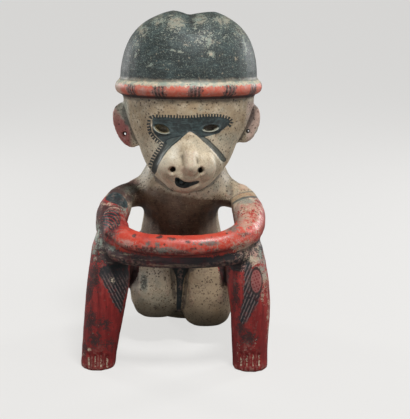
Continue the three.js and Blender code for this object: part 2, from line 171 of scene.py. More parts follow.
class Clay:
    """A mesh with its points in millimetres, and what is measured on them."""

    def __init__(self, mesh):
        self.mesh = mesh
        self.read()

    def read(self):
        count = len(self.mesh.vertices)
        self.at = np.empty(count * 3)
        self.mesh.vertices.foreach_get("co", self.at)
        self.at = self.at.reshape(-1, 3) / MM
        links = np.empty(len(self.mesh.edges) * 2, np.int64)
        self.mesh.edges.foreach_get("vertices", links)
        self.links = links.reshape(-1, 2)
        self.degree = np.bincount(self.links.ravel(), minlength=count)
        self.find_normals()

    def write(self):
        self.mesh.vertices.foreach_set("co", (self.at * MM).ravel())
        self.mesh.update()
        self.find_normals()

    def find_normals(self):
        self.normal = np.empty(len(self.at) * 3)
        self.mesh.vertex_normals.foreach_get("vector", self.normal)
        self.normal = self.normal.reshape(-1, 3)

    def around(self, values):
        """The mean of each point's neighbours."""
        a, b = self.links.T
        count = len(self.at)
        total = [
            np.bincount(a, values[b, k], minlength=count) + np.bincount(b, values[a, k], minlength=count)
            for k in range(values.shape[1])
        ]
        return np.stack(total, 1) / self.degree[:, None]

    def relax(self, rounds):
        """Takes out bumps finer than about ten points and leaves the larger form its size."""
        for _ in range(rounds):
            for share in KEEPING_SIZE:
                self.at += share * (self.around(self.at) - self.at)

    def soften(self, share, rounds):
        """Fills creases and rounds edges, as far as the share that each point is given."""
        for _ in range(rounds):
            self.at += share[:, None] * (self.around(self.at) - self.at)

    def smoothed(self, rounds):
        """The points with hollows and edges evened out. The clay itself stays as it is."""
        smooth = self.at.copy()
        for _ in range(rounds):
            smooth += SMOOTHING * (self.around(smooth) - smooth)
        return smooth

    def push(self, height):
        """Moves the surface out along its normal, in millimetres, and measures the normals again."""
        self.at += self.normal * height[:, None]
        self.write()

    def refine(self, chosen):
        """Splits the edges between chosen points, so that a face with all its points chosen makes four."""
        bm = bmesh.new()
        bm.from_mesh(self.mesh)
        edges = [e for e in bm.edges if all(chosen[v.index] for v in e.verts)]
        bmesh.ops.subdivide_edges(bm, edges=edges, cuts=1, use_grid_fill=True)
        bm.to_mesh(self.mesh)
        bm.free()
        self.read()

    def touch(self, across, up):
        """Where the line of sight through a place in the front view meets the clay."""
        if not hasattr(self, "tree"):
            polygons = [tuple(p.vertices) for p in self.mesh.polygons]
            self.tree = BVHTree.FromPolygons([Vector(p) for p in self.at], polygons)
        place, normal, _, _ = self.tree.ray_cast(Vector(EYE), Vector(sight(across, up)))
        return np.array(place), np.array(normal)

    def line_on(self, route, spacing=2.0):
        """A route in the front view, laid on the clay."""
        route = np.asarray(route, float)
        places = []
        for a, b in zip(route[:-1], route[1:]):
            count = max(1, round(np.linalg.norm(b - a) / spacing))
            places += [a + (b - a) * k / count for k in range(count)]
        return np.array([self.touch(*p)[0] for p in [*places, route[-1]]])


# The clay body: a smoothed copy of the modelled figure. EASED has places measured from the body's
# axis, and how far round each one creases and edges are softened.

GRAIN = 1.7
RELAXING = 60
FACES_KEPT = 0.72
EASED = (
    (40, 6, 158, 30), (-40, 6, 158, 30), (-24, -32, 34, 30), (28, -32, 26, 32), (0, 46, 190, 36),
    (30, 38, 188, 30), (-30, 38, 188, 30), (44, 18, 182, 26), (-40, 18, 182, 26), (54, 32, 150, 30),
    (-50, 32, 150, 30), (56, 34, 78, 34), (-52, 34, 78, 34), (52, 52, 66, 34), (-48, 52, 66, 34),
)
EASE = 0.6
EASE_ROUNDS = 60


def placed(name, data):
    """A new object in the scene."""
    made = bpy.data.objects.new(name, data)
    bpy.context.scene.collection.objects.link(made)
    return made


def settle(piece):
    """Makes the modifiers' result the piece's own mesh."""
    evaluated = piece.evaluated_get(bpy.context.evaluated_depsgraph_get())
    settled = bpy.data.meshes.new_from_object(evaluated)
    piece.modifiers.clear()
    piece.data = settled


def copied_body():
    """A copy of the modelled clay, with its points merged, laid out afresh in small even faces."""
    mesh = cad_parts["figure"].data.copy()
    mesh.materials.clear()
    bm = bmesh.new()
    bm.from_mesh(mesh)
    bmesh.ops.remove_doubles(bm, verts=bm.verts, dist=0.01 * MM)
    bm.to_mesh(mesh)
    bm.free()
    piece = placed("painted_figure", mesh)
    remesh = piece.modifiers.new("even faces", "REMESH")
    remesh.mode = "VOXEL"
    remesh.voxel_size = GRAIN * MM
    settle(piece)
    return piece


def thinned(piece):
    """The clay again in fewer faces, merged where it is smoothest."""
    fewer = piece.modifiers.new("fewer faces", "DECIMATE")
    fewer.ratio = FACES_KEPT
    settle(piece)
    return Clay(piece.data)


def eased(places):
    """How much each place is softened: the nape, the shoulders, the flanks, the hips and the seat."""
    share = np.zeros(len(places))
    for x, y, z, reach in EASED:
        middle = (x + BODY_AXIS[0], y + BODY_AXIS[1], z)
        distance = np.linalg.norm(places - middle, axis=1)
        share = np.maximum(share, 1 - step(distance, reach * 0.4, reach))
    return share


# Carving: hollows, lips and grooves that are finer than the modelled figure's. Routes, outlines and
# middles are places in the front view, and the face's limits are in the head's frame.

FACE_ACROSS = 50.0
FACE_LOW = -108.0
FACE_HIGH = -16.0
FACE_FRONT = -20.0
FINE_BY_EYE = 13.0
FINE_BY_NOSTRIL = 5.5
FINE_BY_MOUTH = 5.0

EYES = (
    {"middle": (-17.8, 217.2), "half": (7.7, 4.0), "slope": -0.34},
    {"middle": (31.0, 217.8), "half": (7.3, 3.4), "slope": 0.12},
)
EYE_REACH = 18
EYE_DEPTH = 2.6
LID_HEIGHT = 0.7

NOSTRILS = ((-7.2, 176.6), (20.4, 176.0))
NOSTRIL_RADIUS = 2.8
NOSTRIL_DEPTH = 5.0
EAR_HOLES = ((-54.8, 212.8), (68.2, 214.8))
EAR_HOLE_RADIUS = 2.3

NOSE_RIDGE = ((9.5, 198), (10, 188), (10.2, 178), (10.4, 174))
NOSE_RIDGE_WIDTH = 4.2
NOSE_RIDGE_HEIGHT = 4.8
NOSE_FURROWS = (((2.6, 194), (2.2, 186), (3.0, 176)), ((17.4, 190), (17.8, 184), (17.2, 179)))
FURROW_WIDTH = 3.4
FURROW_DEPTH = 1.5
CHEEK_SWELLINGS = (((-9.5, 188), 9.5, 2.0), ((21, 187), 8.5, 1.5), ((10.4, 173.5), 5.5, 1.8))

MOUTH = ((-4.2, 167.6), (-0.6, 163.6), (5.5, 161.8), (12, 162.6), (19.2, 165.4))
MOUTH_WIDTH = 2.0
MOUTH_DEPTH = 1.5
LIP = ((0, 156.5), (7, 155.4), (14, 158.2), (20, 161.5))
UPPER_LIP = ((6, 167.4), (12, 167.0), (18, 168))
LIP_WIDTH = 1.8
UPPER_LIP_WIDTH = 1.5
LIP_HEIGHT = 1.0
MOUTH_PAINT = (
    (-5.2, 169.2), (-5, 161.4), (0, 158.2), (5.8, 157.6), (12.4, 160.4), (18.8, 162.6), (20, 165.2),
    (15.8, 165.2), (10.2, 163.9), (4.7, 164.4), (1.3, 166.4), (-0.9, 168.4),
)

MUZZLE = (
    (10.2, 215.5), (24, 205), (34, 195), (44.5, 180), (36, 168.5), (27.5, 159.5), (20, 153.8), (7, 151.5),
    (-6.5, 153), (-15.5, 163), (-24.2, 178.5), (-17, 191), (-9.5, 200), (0.5, 208.8),
)
MUZZLE_STEP = 1.5
CHIN_HEIGHT = 145

BAR_SEAM = (
    (-76, 112.5), (-64, 101.2), (-51.5, 95.2), (-32.5, 90.6), (5, 88.8), (30, 91.2), (52, 95.4), (64, 100),
)
SEAM_WIDTH = 1.9
SEAM_DEPTH = 1.4
FINGER_MIDDLE = (-70.5, 130.5)
FINGER_GROOVES = 4
FINGER_WIDTH = 3.2
FINGER_GROOVE_WIDTH = 0.8
FINGER_GROOVE_DEPTH = 0.7

TOES = 5
TOE_LOW = -20.5
TOE_TOP = -10.0
TOE_DEPTH = 1.6
TOE_WIDTH = 1.5
FEET = ((-82.8, 16.6), (69.6, 16.4))

EARS = ({"middle": (-58, 224), "half": (8.5, 21.5)}, {"middle": (72, 225), "half": (8, 20)})
EAR_DISH = 1.3
EAR_ROOT = 44


def turned(places, middle, slope):
    """Places in the front view, from a middle and along a sloping axis."""
    x, y = (places - np.asarray(middle)).T
    cos, sin = math.cos(slope), math.sin(slope)
    return cos * x + sin * y, cos * y - sin * x


def near(clay, middle, reach):
    """Points of the clay within a reach of a place seen from the front."""
    place, _ = clay.touch(*middle)
    return np.linalg.norm(clay.at - place, axis=1) < reach


def groove(clay, route, width, depth, spacing=2.0):
    """Height of a groove pressed along a route in the front view; a negative depth raises a ridge."""
    line = clay.line_on(route, spacing)
    distance, run, _ = along_line(clay.at, line)
    length = np.linalg.norm(np.diff(line, axis=0), axis=1).sum()
    ends = step(run, -0.01, width * 1.5) * step(length - run, -0.01, width * 1.5)
    return -depth * falloff(distance, width) * (0.25 + 0.75 * ends)


def eye_shape(along, over, eye):
    """An almond, 1 on its edge."""
    half_length, half_height = eye["half"]
    return (np.abs(along / half_length) ** 1.7 + np.abs(over / half_height) ** 2) ** 0.55


def eyes(clay):
    view = seen(clay.at)
    height = np.zeros(len(clay.at))
    for eye in EYES:
        along, over = turned(view, eye["middle"], eye["slope"])
        ring = eye_shape(along, over, eye)
        hollow = -EYE_DEPTH * (1 - step(ring, 0.35, 1.05))
        lower = 1 + 0.7 * step(-over, -1, 3)
        lid = LID_HEIGHT * falloff(ring - 1.22, 0.2) * lower
        height += np.where(near(clay, eye["middle"], EYE_REACH), hollow + lid, 0)
    return height


def nose(clay):
    height = groove(clay, NOSE_RIDGE, NOSE_RIDGE_WIDTH, -NOSE_RIDGE_HEIGHT)
    for route in NOSE_FURROWS:
        height += groove(clay, route, FURROW_WIDTH, FURROW_DEPTH)
    for middle, radius, rise in CHEEK_SWELLINGS:
        place, _ = clay.touch(*middle)
        height += rise * falloff(np.linalg.norm(clay.at - place, axis=1), radius)
    return height


def press_nostrils(clay):
    """Each nostril is pressed straight in, as with a stick."""
    for middle in NOSTRILS:
        place, normal = clay.touch(*middle)
        distance = np.linalg.norm(clay.at - place, axis=1)
        height = -NOSTRIL_DEPTH * (1 - step(distance, NOSTRIL_RADIUS * 0.6, NOSTRIL_RADIUS * 1.35))
        height += 0.5 * falloff(distance - NOSTRIL_RADIUS * 1.8, 1.2)
        clay.at += height[:, None] * normal
    clay.write()


def muzzle(clay):
    """The cone of the muzzle stands a little proud of the cheeks, with a soft edge."""
    inside = inside_by(seen(clay.at), rounded(MUZZLE, 1))
    head = on_head(clay.at)
    front = (head[:, 1] < FACE_FRONT) & (head[:, 2] < FACE_HIGH) & (clay.at[:, 2] > CHIN_HEIGHT)
    form = step(inside, -1.5, 2.5) - 0.35 * falloff(inside + 2.5, 2.5)
    return np.where(front, MUZZLE_STEP * form, 0)


def mouth(clay):
    thick = falloff(seen(clay.at)[:, 0] + 1, 9) * 0.9 + 0.75
    lower_lip = groove(clay, LIP, LIP_WIDTH, -LIP_HEIGHT)
    upper_lip = groove(clay, UPPER_LIP, UPPER_LIP_WIDTH, -LIP_HEIGHT * 0.8)
    return groove(clay, MOUTH, MOUTH_WIDTH, MOUTH_DEPTH, 1.0) * thick + lower_lip + upper_lip


def ears(clay):
    """Each ear is dished inside a raised rim, on its front."""
    view = seen(clay.at)
    height = np.zeros(len(clay.at))
    for ear in EARS:
        ring = np.hypot(*((view - ear["middle"]) / ear["half"]).T)
        facing = np.clip(clay.normal @ BACK, 0, 1)
        form = -EAR_DISH * (1 - step(ring, 0.35, 0.95)) + 0.5 * falloff(ring - 1.05, 0.16)
        outer = np.abs(on_head(clay.at)[:, 0]) > EAR_ROOT
        height += np.where(outer & (ring < 1.5), form * facing, 0)
    return height


def hand_and_seam(clay):
    """The grooves between fingers on the elbow at the viewer's left, and the seam of the forearms."""
    height = groove(clay, BAR_SEAM, SEAM_WIDTH, SEAM_DEPTH)
    middle = np.array(FINGER_MIDDLE)
    for k in range(FINGER_GROOVES):
        start = middle + (-4.5 + k * FINGER_WIDTH, 5.5 - 0.6 * k)
        bend = middle + (-7.0 + k * FINGER_WIDTH, 0.5)
        end = middle + (-5.0 + k * FINGER_WIDTH, -5.5)
        route = (start, bend, end)
        height += groove(clay, route, FINGER_GROOVE_WIDTH, FINGER_GROOVE_DEPTH, 1.0)
    return height


def toe_lines(clay):
    """The grooves between the toes, laid on the clay."""
    lines = []
    for middle, half in FEET:
        for k in range(1, TOES):
            across = middle + half * 0.92 * (2 * k / TOES - 1)
            lines.append(clay.line_on(((across, TOE_LOW), (across, TOE_TOP + 2 * (k % 2))), 1.0))
    return lines


def toes(clay):
    return sum(-TOE_DEPTH * falloff(along_line(clay.at, line)[0], TOE_WIDTH) for line in toe_lines(clay))


def unevenness(clay):
    """The slow rise and fall that hands and a burnishing pebble leave."""
    x, y, z = clay.at.T
    slow = np.sin(x / 17 + 1.3 * np.sin(z / 23)) * np.sin(z / 19 + y / 25) * 0.28
    quick = np.sin(x / 6.1 + z / 7.7) * np.sin(y / 6.7 - z / 5.3 + 2) * 0.07
    return slow + quick


def carve(clay):
    head = on_head(clay.at)
    front = (np.abs(head[:, 0]) < FACE_ACROSS) & (head[:, 1] < FACE_FRONT)
    clay.refine(front & (head[:, 2] > FACE_LOW) & (head[:, 2] < FACE_HIGH))
    chosen = along_line(clay.at, clay.line_on(MOUTH))[0] < FINE_BY_MOUTH
    for eye in EYES:
        chosen |= near(clay, eye["middle"], FINE_BY_EYE)
    for middle in NOSTRILS:
        chosen |= near(clay, middle, FINE_BY_NOSTRIL)
    clay.refine(chosen)
    del clay.tree
    clay.push(unevenness(clay))
    clay.push(muzzle(clay) + ears(clay))
    clay.push(nose(clay))
    clay.push(eyes(clay) + mouth(clay) + hand_and_seam(clay) + toes(clay))
    press_nostrils(clay)
    clay.at[:, 2] = np.maximum(clay.at[:, 2], 0)
    clay.write()


# Where each paint lies, measured on the clay. Limbs are measured from the body's axis, outlines are in
# the front view, and tops are heights above the ground.

FAR = 40.0
NO_PAINT = -20.0
HOLLOW_ROUNDS = 14

ARM_SHIFT = 2.6
ARM_SPREAD = 66.0
RING_HALF_WIDTH = 62.0
RING_REACH = 40.0
RING_POWER = 0.68
UPPER_ARM = {"side": 1, "height": 128.7, "lift": 10, "setback": 0}
LOWER_ARM = {"side": -1, "height": 116.0, "lift": 4, "setback": 5}
ARM_RADIUS = 18
ARM_PAINT_TOP = 175
SHIN = ((76, -80, -10), (70, -80, 60), (66, -78, 100), (63, -72, 126))
SHIN_RADIUS = 28
THIGH = ((65, -76, 100), (66, -44, 92), (60, -8, 80), (40, 34, 64))
THIGH_RADIUS = 30
SEAT_RADIUS = 24
SEAT_TOP = 105
RED_START = 54
RED_END = 88
RED_TOP = 172
BROWN_TOP = 190
CHIN_LOW = -98

FACE_MASK = (
    (-27.4, 228.4), (-22, 229), (-10, 228.6), (0, 228), (10, 228), (20, 229), (32, 229.6), (42, 229),
    (48, 227.2), (51.3, 224.3), (48, 220), (43, 216), (39, 212.6), (32, 210.8), (26, 209), (21, 208),
    (17, 210.3), (10.4, 215), (5.8, 211.4), (-0.9, 205.2), (-8, 199.4), (-15, 202.6), (-19.8, 206.4),
    (-24.2, 211), (-26.8, 215), (-27.6, 222),
)
MASK_FRINGE = (
    (-19, 204.5), (-24.8, 209.4), (-28.6, 214.6), (-29.6, 221.5), (-28.8, 227), (-24, 229.8), (-10, 229.3),
    (0, 228.7), (10, 228.7), (20, 229.7), (32, 230.3), (42, 229.7), (48.6, 227.9), (52.2, 224.4),
    (49.4, 219.6),
)
LEFT_BAND = (
    (5.8, 211.6), (-0.9, 205.4), (-9.8, 198.2), (-16.4, 189.3), (-21.6, 180.4), (-24, 172), (-28.4, 171),
    (-28.2, 180.4), (-24.2, 189.3), (-18.8, 197), (-15.4, 204), (-12, 208),
)
LEFT_BAND_FRINGE = ((-16, 203), (-19.2, 197), (-24.6, 189.3), (-28.5, 180.4), (-28.9, 172.6))
RIGHT_BAND = (
    (17, 210.5), (23.4, 204.6), (33.6, 195), (42.8, 183.2), (47.8, 185.4), (41.4, 194), (34.9, 200.6),
    (26.4, 209.2),
)

LOINCLOTH = (
    (-9, 80), (11, 81.5), (7, 74), (3.0, 66), (1.6, 50), (-0.6, 27), (-4.2, 27), (-3.8, 50), (-3.8, 66),
    (-6, 74),
)
ARMBAND = (
    (-75, 147.5), (-72, 151.8), (-67, 154.6), (-61, 153.8), (-56, 149.8), (-52.6, 144), (-51.6, 138.6),
    (-55.5, 138.6), (-60.5, 141), (-66.5, 143), (-72, 145.6),
)
CHEST = (
    (-46, 154), (-34, 160), (-20, 157), (-8, 153), (4, 150), (22, 148.5), (38, 147.5), (54, 148), (52, 120),
    (31, 95), (31, 60), (-28, 60), (-30, 95), (-48, 120),
)
LEFT_KNEE = (
    (-84, 77), (-78, 80), (-66, 84), (-54, 88), (-50, 70), (-56, 46), (-59, 30), (-66, 42), (-75, 59),
)
RIGHT_KNEE = (
    (64, 84), (71, 86), (73, 62), (82, 56), (79, 46), (70, 28), (63, 20.5), (59.5, 24), (61, 41), (64, 58),
)
FLANK = 16.0
SHIN_BACK = -56.0
KNEE_RING = {"middle": (76, 64.4), "half": (5.7, 12.4)}
HAND_PATCH = {"middle": (-68.6, 126.6), "half": (9.4, 10.4)}

# Spots in the front view: across, up, half width, half height, and how strong

PALE_SPOTS = (
    (-20, 326, 11, 8, 0.62), (-3, 322, 10, 8, 0.9), (20, 326, 7, 6, 0.85), (45, 325.5, 9, 6, 0.75),
    (61, 315.5, 6, 6, 0.75), (-37.5, 316.5, 6, 10, 0.7), (28, 306, 13, 9, 0.66),
    (31.5, 291.6, 3.4, 2.6, 1.5), (-6.5, 296, 4, 1.2, 1), (6, 300.5, 4, 2, 0.8), (4, 294, 6, 1, 0.8),
    (-28, 280.5, 3.5, 1.6, 1), (-13.5, 284.7, 1.8, 1.2, 1.1), (-8.5, 282, 3, 1.2, 0.95),
    (57, 287, 2, 1.4, 1), (-43, 300, 4, 14, 0.55), (66, 300, 5, 16, 0.55), (14, 318, 10, 6, 0.4),
    (-10, 310, 14, 6, 0.4), (48, 310, 10, 8, 0.35), (-32, 102.4, 3, 3.4, 1.3), (-22.5, 102.2, 3, 3.4, 1.3),
    (-14, 96.6, 12, 4, 1.15), (28, 102, 17, 3.6, 1.1), (50, 118, 14, 5, 1), (62, 126, 15, 13, 1),
    (60, 142, 20, 14, 1.15), (77, 130, 6, 26, 0.85), (66, 98, 16, 9, 1.05), (76, 88, 14, 12, 1),
    (84, 70, 6, 20, 0.9), (-55, 136, 6, 8, 0.75), (-57, 101, 6, 3, 0.5), (-84, 114, 4, 14, 1),
    (-80, 104, 4, 9, 1), (-67, 98, 8, 3, 0.9), (-86, 96, 3, 12, 0.8), (-68, 65.5, 3.6, 4.6, 1.35),
    (-72, 142.6, 12, 2, 0.8), (-99, 30, 2.4, 60, 0.7), (88, 40, 2.6, 50, 0.7), (82, 47, 3.4, 8, 0.75),
    (58, -6, 3, 12, 0.4), (-91, -3, 2, 3, 0.9), (-86.5, 13, 1.6, 1.8, 0.6), (-97, -16, 4, 4, 0.5),
    (74, 2, 2.4, 9, 0.55), (64, -2, 2, 8, 0.5),
)
# Dark stains, and painted shade on the inner thighs beside the seat, where the thighs lie in shadow.
SOOT_AND_SHADE_SPOTS = (
    (-82, 90, 11, 14, 0.95), (-86, 70, 6, 14, 1.15), (-91, 56, 4, 16, 1), (-90, 26, 7, 14, 1),
    (-86, 6, 9, 9, 1), (-76, 22, 8, 8, 0.9), (-96, -2, 4, 9, 0.9), (-72, 2, 7, 8, 0.8),
    (60, 20, 5, 18, 0.9), (68, 8, 10, 10, 0.95), (-55, 161, 15, 7, 1.6), (-62, 154, 13, 6, 1.6),
    (-46, 155, 8, 6, 1.4), (-76, 137, 8, 8, 1.3), (-68, 137, 14, 6, 1), (-70, 112, 11, 8, 0.9),
    (-80, 126, 6, 16, 1.5), (-51, 148, 6, 7, 1.3), (-57, 139, 6, 7, 1), (-92, -12, 4, 4, 0.45),
    (-44, 86, 12, 8, 0.8), (54, 84, 6, 10, 0.55), (56, 50, 5, 22, 0.9), (70, 30, 4, 8, 0.4),
    (76, 74, 7, 9, 0.9), (82, 92, 4, 8, 0.8), (86, 116, 4, 10, 0.8), (66, 111, 9, 4, 0.75),
    (-46, 110.6, 1.8, 1.6, 1.8), (-21, 109, 3, 1.2, 1.8), (-8, 107.2, 4, 1.4, 1.6), (8, 104, 2.4, 1.4, 1.6),
    (-30, 96, 18, 4, 1.3), (-6, 93.5, 18, 3, 1.2), (16, 97, 9, 3, 0.8), (32, 95.5, 14, 3, 0.85),
    (-50, 100, 8, 3, 0.7), (-7.5, 156, 2.4, 3, 0.9), (15, 153.6, 5, 2, 0.7), (-24, 38, 3, 2, 1),
    (-20, 43, 3, 3, 0.6), (24, 44, 3.4, 2, 0.7), (17, 60, 2, 2, 0.7), (-46, 72, 6, 16, 1.6),
    (44, 72, 5, 14, 1.6), (-19, 110, 2, 1.2, 1.2), (-12, 108.6, 3, 1, 0.9),
)
PINK_SPOTS = (
    (-47, 165, 6, 3, 0.9), (-66, 138, 12, 5, 0.8), (64, 160, 5, 4, 0.8), (62, 132, 18, 18, 0.6),
    (76, 100, 14, 24, 0.6), (68, 76, 10, 12, 0.6), (-54, 102, 10, 6, 1.15), (40, 106, 24, 6, 0.6),
    (-80, 84, 10, 14, 0.5), (-30, 98, 12, 3, 0.4), (-78, 46, 5, 26, 0.25), (80, 40, 5, 22, 0.3),
    (4, 176, 4, 4, 0.35), (10, 152, 16, 4, 0.35), (-20, 160, 6, 6, 0.25), (-74, 96, 12, 8, 0.6),
    (-62, 140, 8, 5, 0.6), (-70, 66, 9, 16, 0.35), (76, 66, 7, 12, 0.5),
)
GREEN_SPOTS = (
    (-32, 102.6, 3, 3, 0.95), (-22.5, 102.6, 2.6, 3.2, 0.95), (-13, 97, 11, 4.4, 0.95),
    (-36.5, 64, 3.6, 9, 1.5), (-45, 158, 6, 5, 0.6), (-10, 156, 4, 4, 0.5), (16, 153, 6, 3, 0.5),
    (25, 102.6, 14, 2.8, 0.75), (64, 147, 14, 4, 0.4), (48, 208, 9, 5, 0.55), (-36, 176, 6, 16, 0.4),
    (36, 176, 6, 8, 0.35), (-20, 46, 18, 6, 0.5), (-44, 144, 5, 8, 0.55), (-6, 262, 22, 2, 0.6),
    (-55, 136, 7, 9, 0.9), (-84, 108, 6, 16, 0.8), (-68, 99, 8, 5, 0.8), (52, 124, 8, 20, 0.5),
    (64, 145.5, 12, 2.6, 0.9), (84, 90, 5, 20, 0.6), (-50, 157, 6, 4, 0.8),
)
# Painted highlights: the upper corner of the seat at the viewer's left, beside the nose, and on the cheek.
PAINTED_HIGHLIGHT_SPOTS = ((-42, 66, 9, 13, 1), (-28, 74, 12, 6, 0.6), (-6, 196, 5, 11, 0.9), (-16, 186, 6, 8, 0.4))
MUZZLE_CLEAN = {"middle": (7, 180), "half": (36, 32)}


def body_points(places, side=1):
    """Points measured from the body's axis, on one side of it, as places in the figure's frame."""
    return np.array([(side * x + BODY_AXIS[0], y + BODY_AXIS[1], z) for x, y, z in places])


def arm_line(side, height, lift, setback):
    """The middle of an arm, from its shoulder over the elbow and round the front."""
    reach = ARM_SHIFT + side * ARM_SPREAD
    points = [(ARM_SHIFT + side * 40, 12, 152.5), (ARM_SHIFT + side * 57, -4, 151), (reach, -38, 143)]
    points.append((reach, -66, (height + 143) / 2))
    for share in np.linspace(0.13, 0.98, 9):
        bow = math.sin(share * math.pi)
        x = ARM_SHIFT + side * math.cos(share * math.pi) * RING_HALF_WIDTH
        y = -72 - RING_REACH * bow**RING_POWER + setback * bow**3
        points.append((x, y, height + lift * step(share, 0.7, 1) + 4 * step(share, 0.3, 0.13)))
    return body_points(points)


def nearest(points, lines):
    """Distance of points from the nearest of several broken lines, and the run along it."""
    best = np.full(len(points), np.inf)
    best_run = np.zeros(len(points))
    for line in lines:
        distance, run, _ = along_line(points, line)
        best_run = np.where(distance < best, run, best_run)
        best = np.minimum(best, distance)
    return best, best_run


def only(where, inside):
    """How far inside a paint points are, with none of that paint elsewhere."""
    return np.where(where, inside, NO_PAINT)


def ring_round(view, shape):
    """Distance from an oval's middle, 1 on the oval."""
    return np.hypot(*((view - shape["middle"]) / shape["half"]).T)


class Layout:
    """Where each paint lies, kept on the clay as attributes of three numbers to a point."""

    def __init__(self, clay):
        self.clay = clay
        self.view = seen(clay.at)
        self.head = on_head(clay.at)
        self.depth = clay.at[:, 1]
        self.height = clay.at[:, 2]
        self.facing = step(clay.normal @ BACK, -0.15, 0.2)
        self.away = np.where(self.facing > 0, 0, FAR)
        above_chin = (self.head[:, 2] < -8) & (self.head[:, 2] > CHIN_LOW)
        self.off_face = np.where((self.head[:, 1] < FACE_FRONT) & above_chin, 0, FAR)

    def store_all(self):
        self.store("front_view", *self.view.T, self.facing)
        self.limbs()
        self.body()
        self.mask()
        self.eyes()
        self.openings()
        self.brim()
        self.knees_and_hand()
        self.wear_and_shade()
        self.tone()
        self.relief()

    def store(self, name, *values):
        attribute = self.clay.mesh.attributes.new(name, "FLOAT_VECTOR", "POINT")
        attribute.data.foreach_set("vector", np.stack(values, 1).astype(np.float32).ravel())

    def within(self, outline, rounds=1):
        """How far inside an outline in the front view points are seen, in millimetres."""
        return inside_by(self.view, rounded(outline, rounds))

    def spotted(self, spots, where):
        """How strongly soft oval spots cover each point."""
        cover = np.zeros(len(self.view))
        for across, up, wide, high, strength in spots:
            reach = ((self.view[:, 0] - across) / wide) ** 2 + ((self.view[:, 1] - up) / high) ** 2
            cover = np.maximum(cover, strength * np.exp(-reach * 0.8))
        return cover * where

    def limbs(self):
        """The red of the arms and legs, and the two forearms across the front."""
        at = self.clay.at
        upper, upper_run, _ = along_line(at, arm_line(**UPPER_ARM))
        lower, lower_run, _ = along_line(at, arm_line(**LOWER_ARM))
        self.on_lower_arm = lower < upper
        arm = np.minimum(upper, lower)
        run = np.where(self.on_lower_arm, lower_run, upper_run)
        slope = np.where(self.on_lower_arm, 0.25, 0.08)
        red_arm = np.minimum(ARM_RADIUS - arm, (run - RED_START) * slope)
        shins, _ = nearest(at, [body_points(SHIN, side) for side in (-1, 1)])
        thighs, thigh_run = nearest(at, [body_points(THIGH, side) for side in (-1, 1)])
        red_thigh = np.minimum(THIGH_RADIUS - thighs, (RED_END - thigh_run) * 0.2)
        red_leg = np.maximum(SHIN_RADIUS - shins, red_thigh)
        seat = (self.depth > -28) & (self.height < SEAT_TOP) & (np.abs(at[:, 0]) < 56)
        red = np.maximum(red_arm, np.where(seat & (thighs > SEAT_RADIUS), -5, red_leg))
        self.red = only(self.height <= RED_TOP, red)
        along_upper = step(run, 66, 120) * step(240 - run, 0, 12)
        self.upper_bar = np.where(~self.on_lower_arm & (arm < ARM_RADIUS), along_upper, 0)
        self.lower_bar = np.where(self.on_lower_arm & (arm < ARM_RADIUS), step(run, 84, 104), 0)

    def body(self):
        """The brown of the chest, and the black of the cap, the loincloth and the armband."""
        chest = np.minimum(self.within(CHEST, 2), (FLANK - self.depth) * 0.3)
        seat_front = (self.depth < 0) & (self.height < SEAT_TOP - 1) & (self.view[:, 1] < 86)
        torso = (self.red < 0) & (self.height < BROWN_TOP) & (self.head[:, 2] <= CHIN_LOW + 3)
        cap = np.minimum(self.head[:, 2] - CAP_EDGE, FAR)
        cloth = only(self.depth > -52, only(self.depth < 2, self.within(LOINCLOTH)) - self.away)
        band = only(self.height < ARM_PAINT_TOP, self.within(ARMBAND, 2)) - self.away
        band = only(self.on_lower_arm & (self.depth < -14), band)
        black = np.maximum.reduce([cap, cloth, band])
        self.store("paint", self.red, only(torso & ~seat_front, chest), black)

    def mask(self):
        """The black across the eyes and down the muzzle, and the fringe of strokes along its edge."""
        shapes = (FACE_MASK, LEFT_BAND, RIGHT_BAND)
        self.store("mask", *(self.within(shape) - self.off_face for shape in shapes))
        fringe, fringe_run, side = along_line(self.view, MASK_FRINGE)
        band_fringe, band_run, band_side = along_line(self.view, LEFT_BAND_FRINGE)
        by_band = band_fringe < fringe
        outward = np.where(by_band, band_fringe * -band_side, fringe * side)
        outward = np.where(self.off_face > 0, FAR, outward)
        self.store("fringe", outward, np.where(by_band, band_run, fringe_run), by_band)

    def eyes(self):
        nearer = np.full(len(self.view), 9.0)
        height = np.zeros(len(self.view))
        for eye in EYES:
            along, over = turned(self.view, eye["middle"], eye["slope"])
            ring = eye_shape(along, over, eye) + self.off_face
            height = np.where(ring < nearer, over / eye["half"][1], height)
            nearer = np.minimum(ring, nearer)
        self.store("eyes", nearer, height, step(self.view[:, 0], 0, 12))

    def openings(self):
        """The nostrils, the holes in the ears, the mouth, and the grooves between the toes."""
        hole = np.full(len(self.view), FAR)
        behind = np.where(self.head[:, 1] < 30, 0, FAR)
        for radius, middles in ((NOSTRIL_RADIUS, NOSTRILS), (EAR_HOLE_RADIUS, EAR_HOLES)):
            for middle in middles:
                hole = np.minimum(hole, np.linalg.norm(self.view - middle, axis=1) - radius + behind)
        toe, _ = nearest(self.clay.at, toe_lines(self.clay))
        self.store("openings", hole, self.within(MOUTH_PAINT) - self.off_face, toe)

    def brim(self):
        across, depth, height = self.head.T
        turn = np.arctan2(across / BRIM_HALF_WIDTH, -depth / BRIM_HALF_DEPTH)
        ring = np.stack([np.sin(turn) * BRIM_HALF_WIDTH, -np.cos(turn) * BRIM_HALF_DEPTH, 0 * turn], 1)
        self.store("brim", BRIM_PAINT_REACH - np.linalg.norm(self.head - ring, axis=1), height, turn)

    def knees_and_hand(self):
        off_shin = self.away + np.where(self.depth < SHIN_BACK, 0, FAR)
        knees = [self.within(shape) - off_shin for shape in (LEFT_KNEE, RIGHT_KNEE)]
        self.store("knees", *knees, ring_round(self.view, KNEE_RING) + off_shin)
        hand = ring_round(self.view, HAND_PATCH) + self.away + np.where(self.height > ARM_PAINT_TOP, 9, 0)
        self.store("bars", self.upper_bar, self.lower_bar, hand)

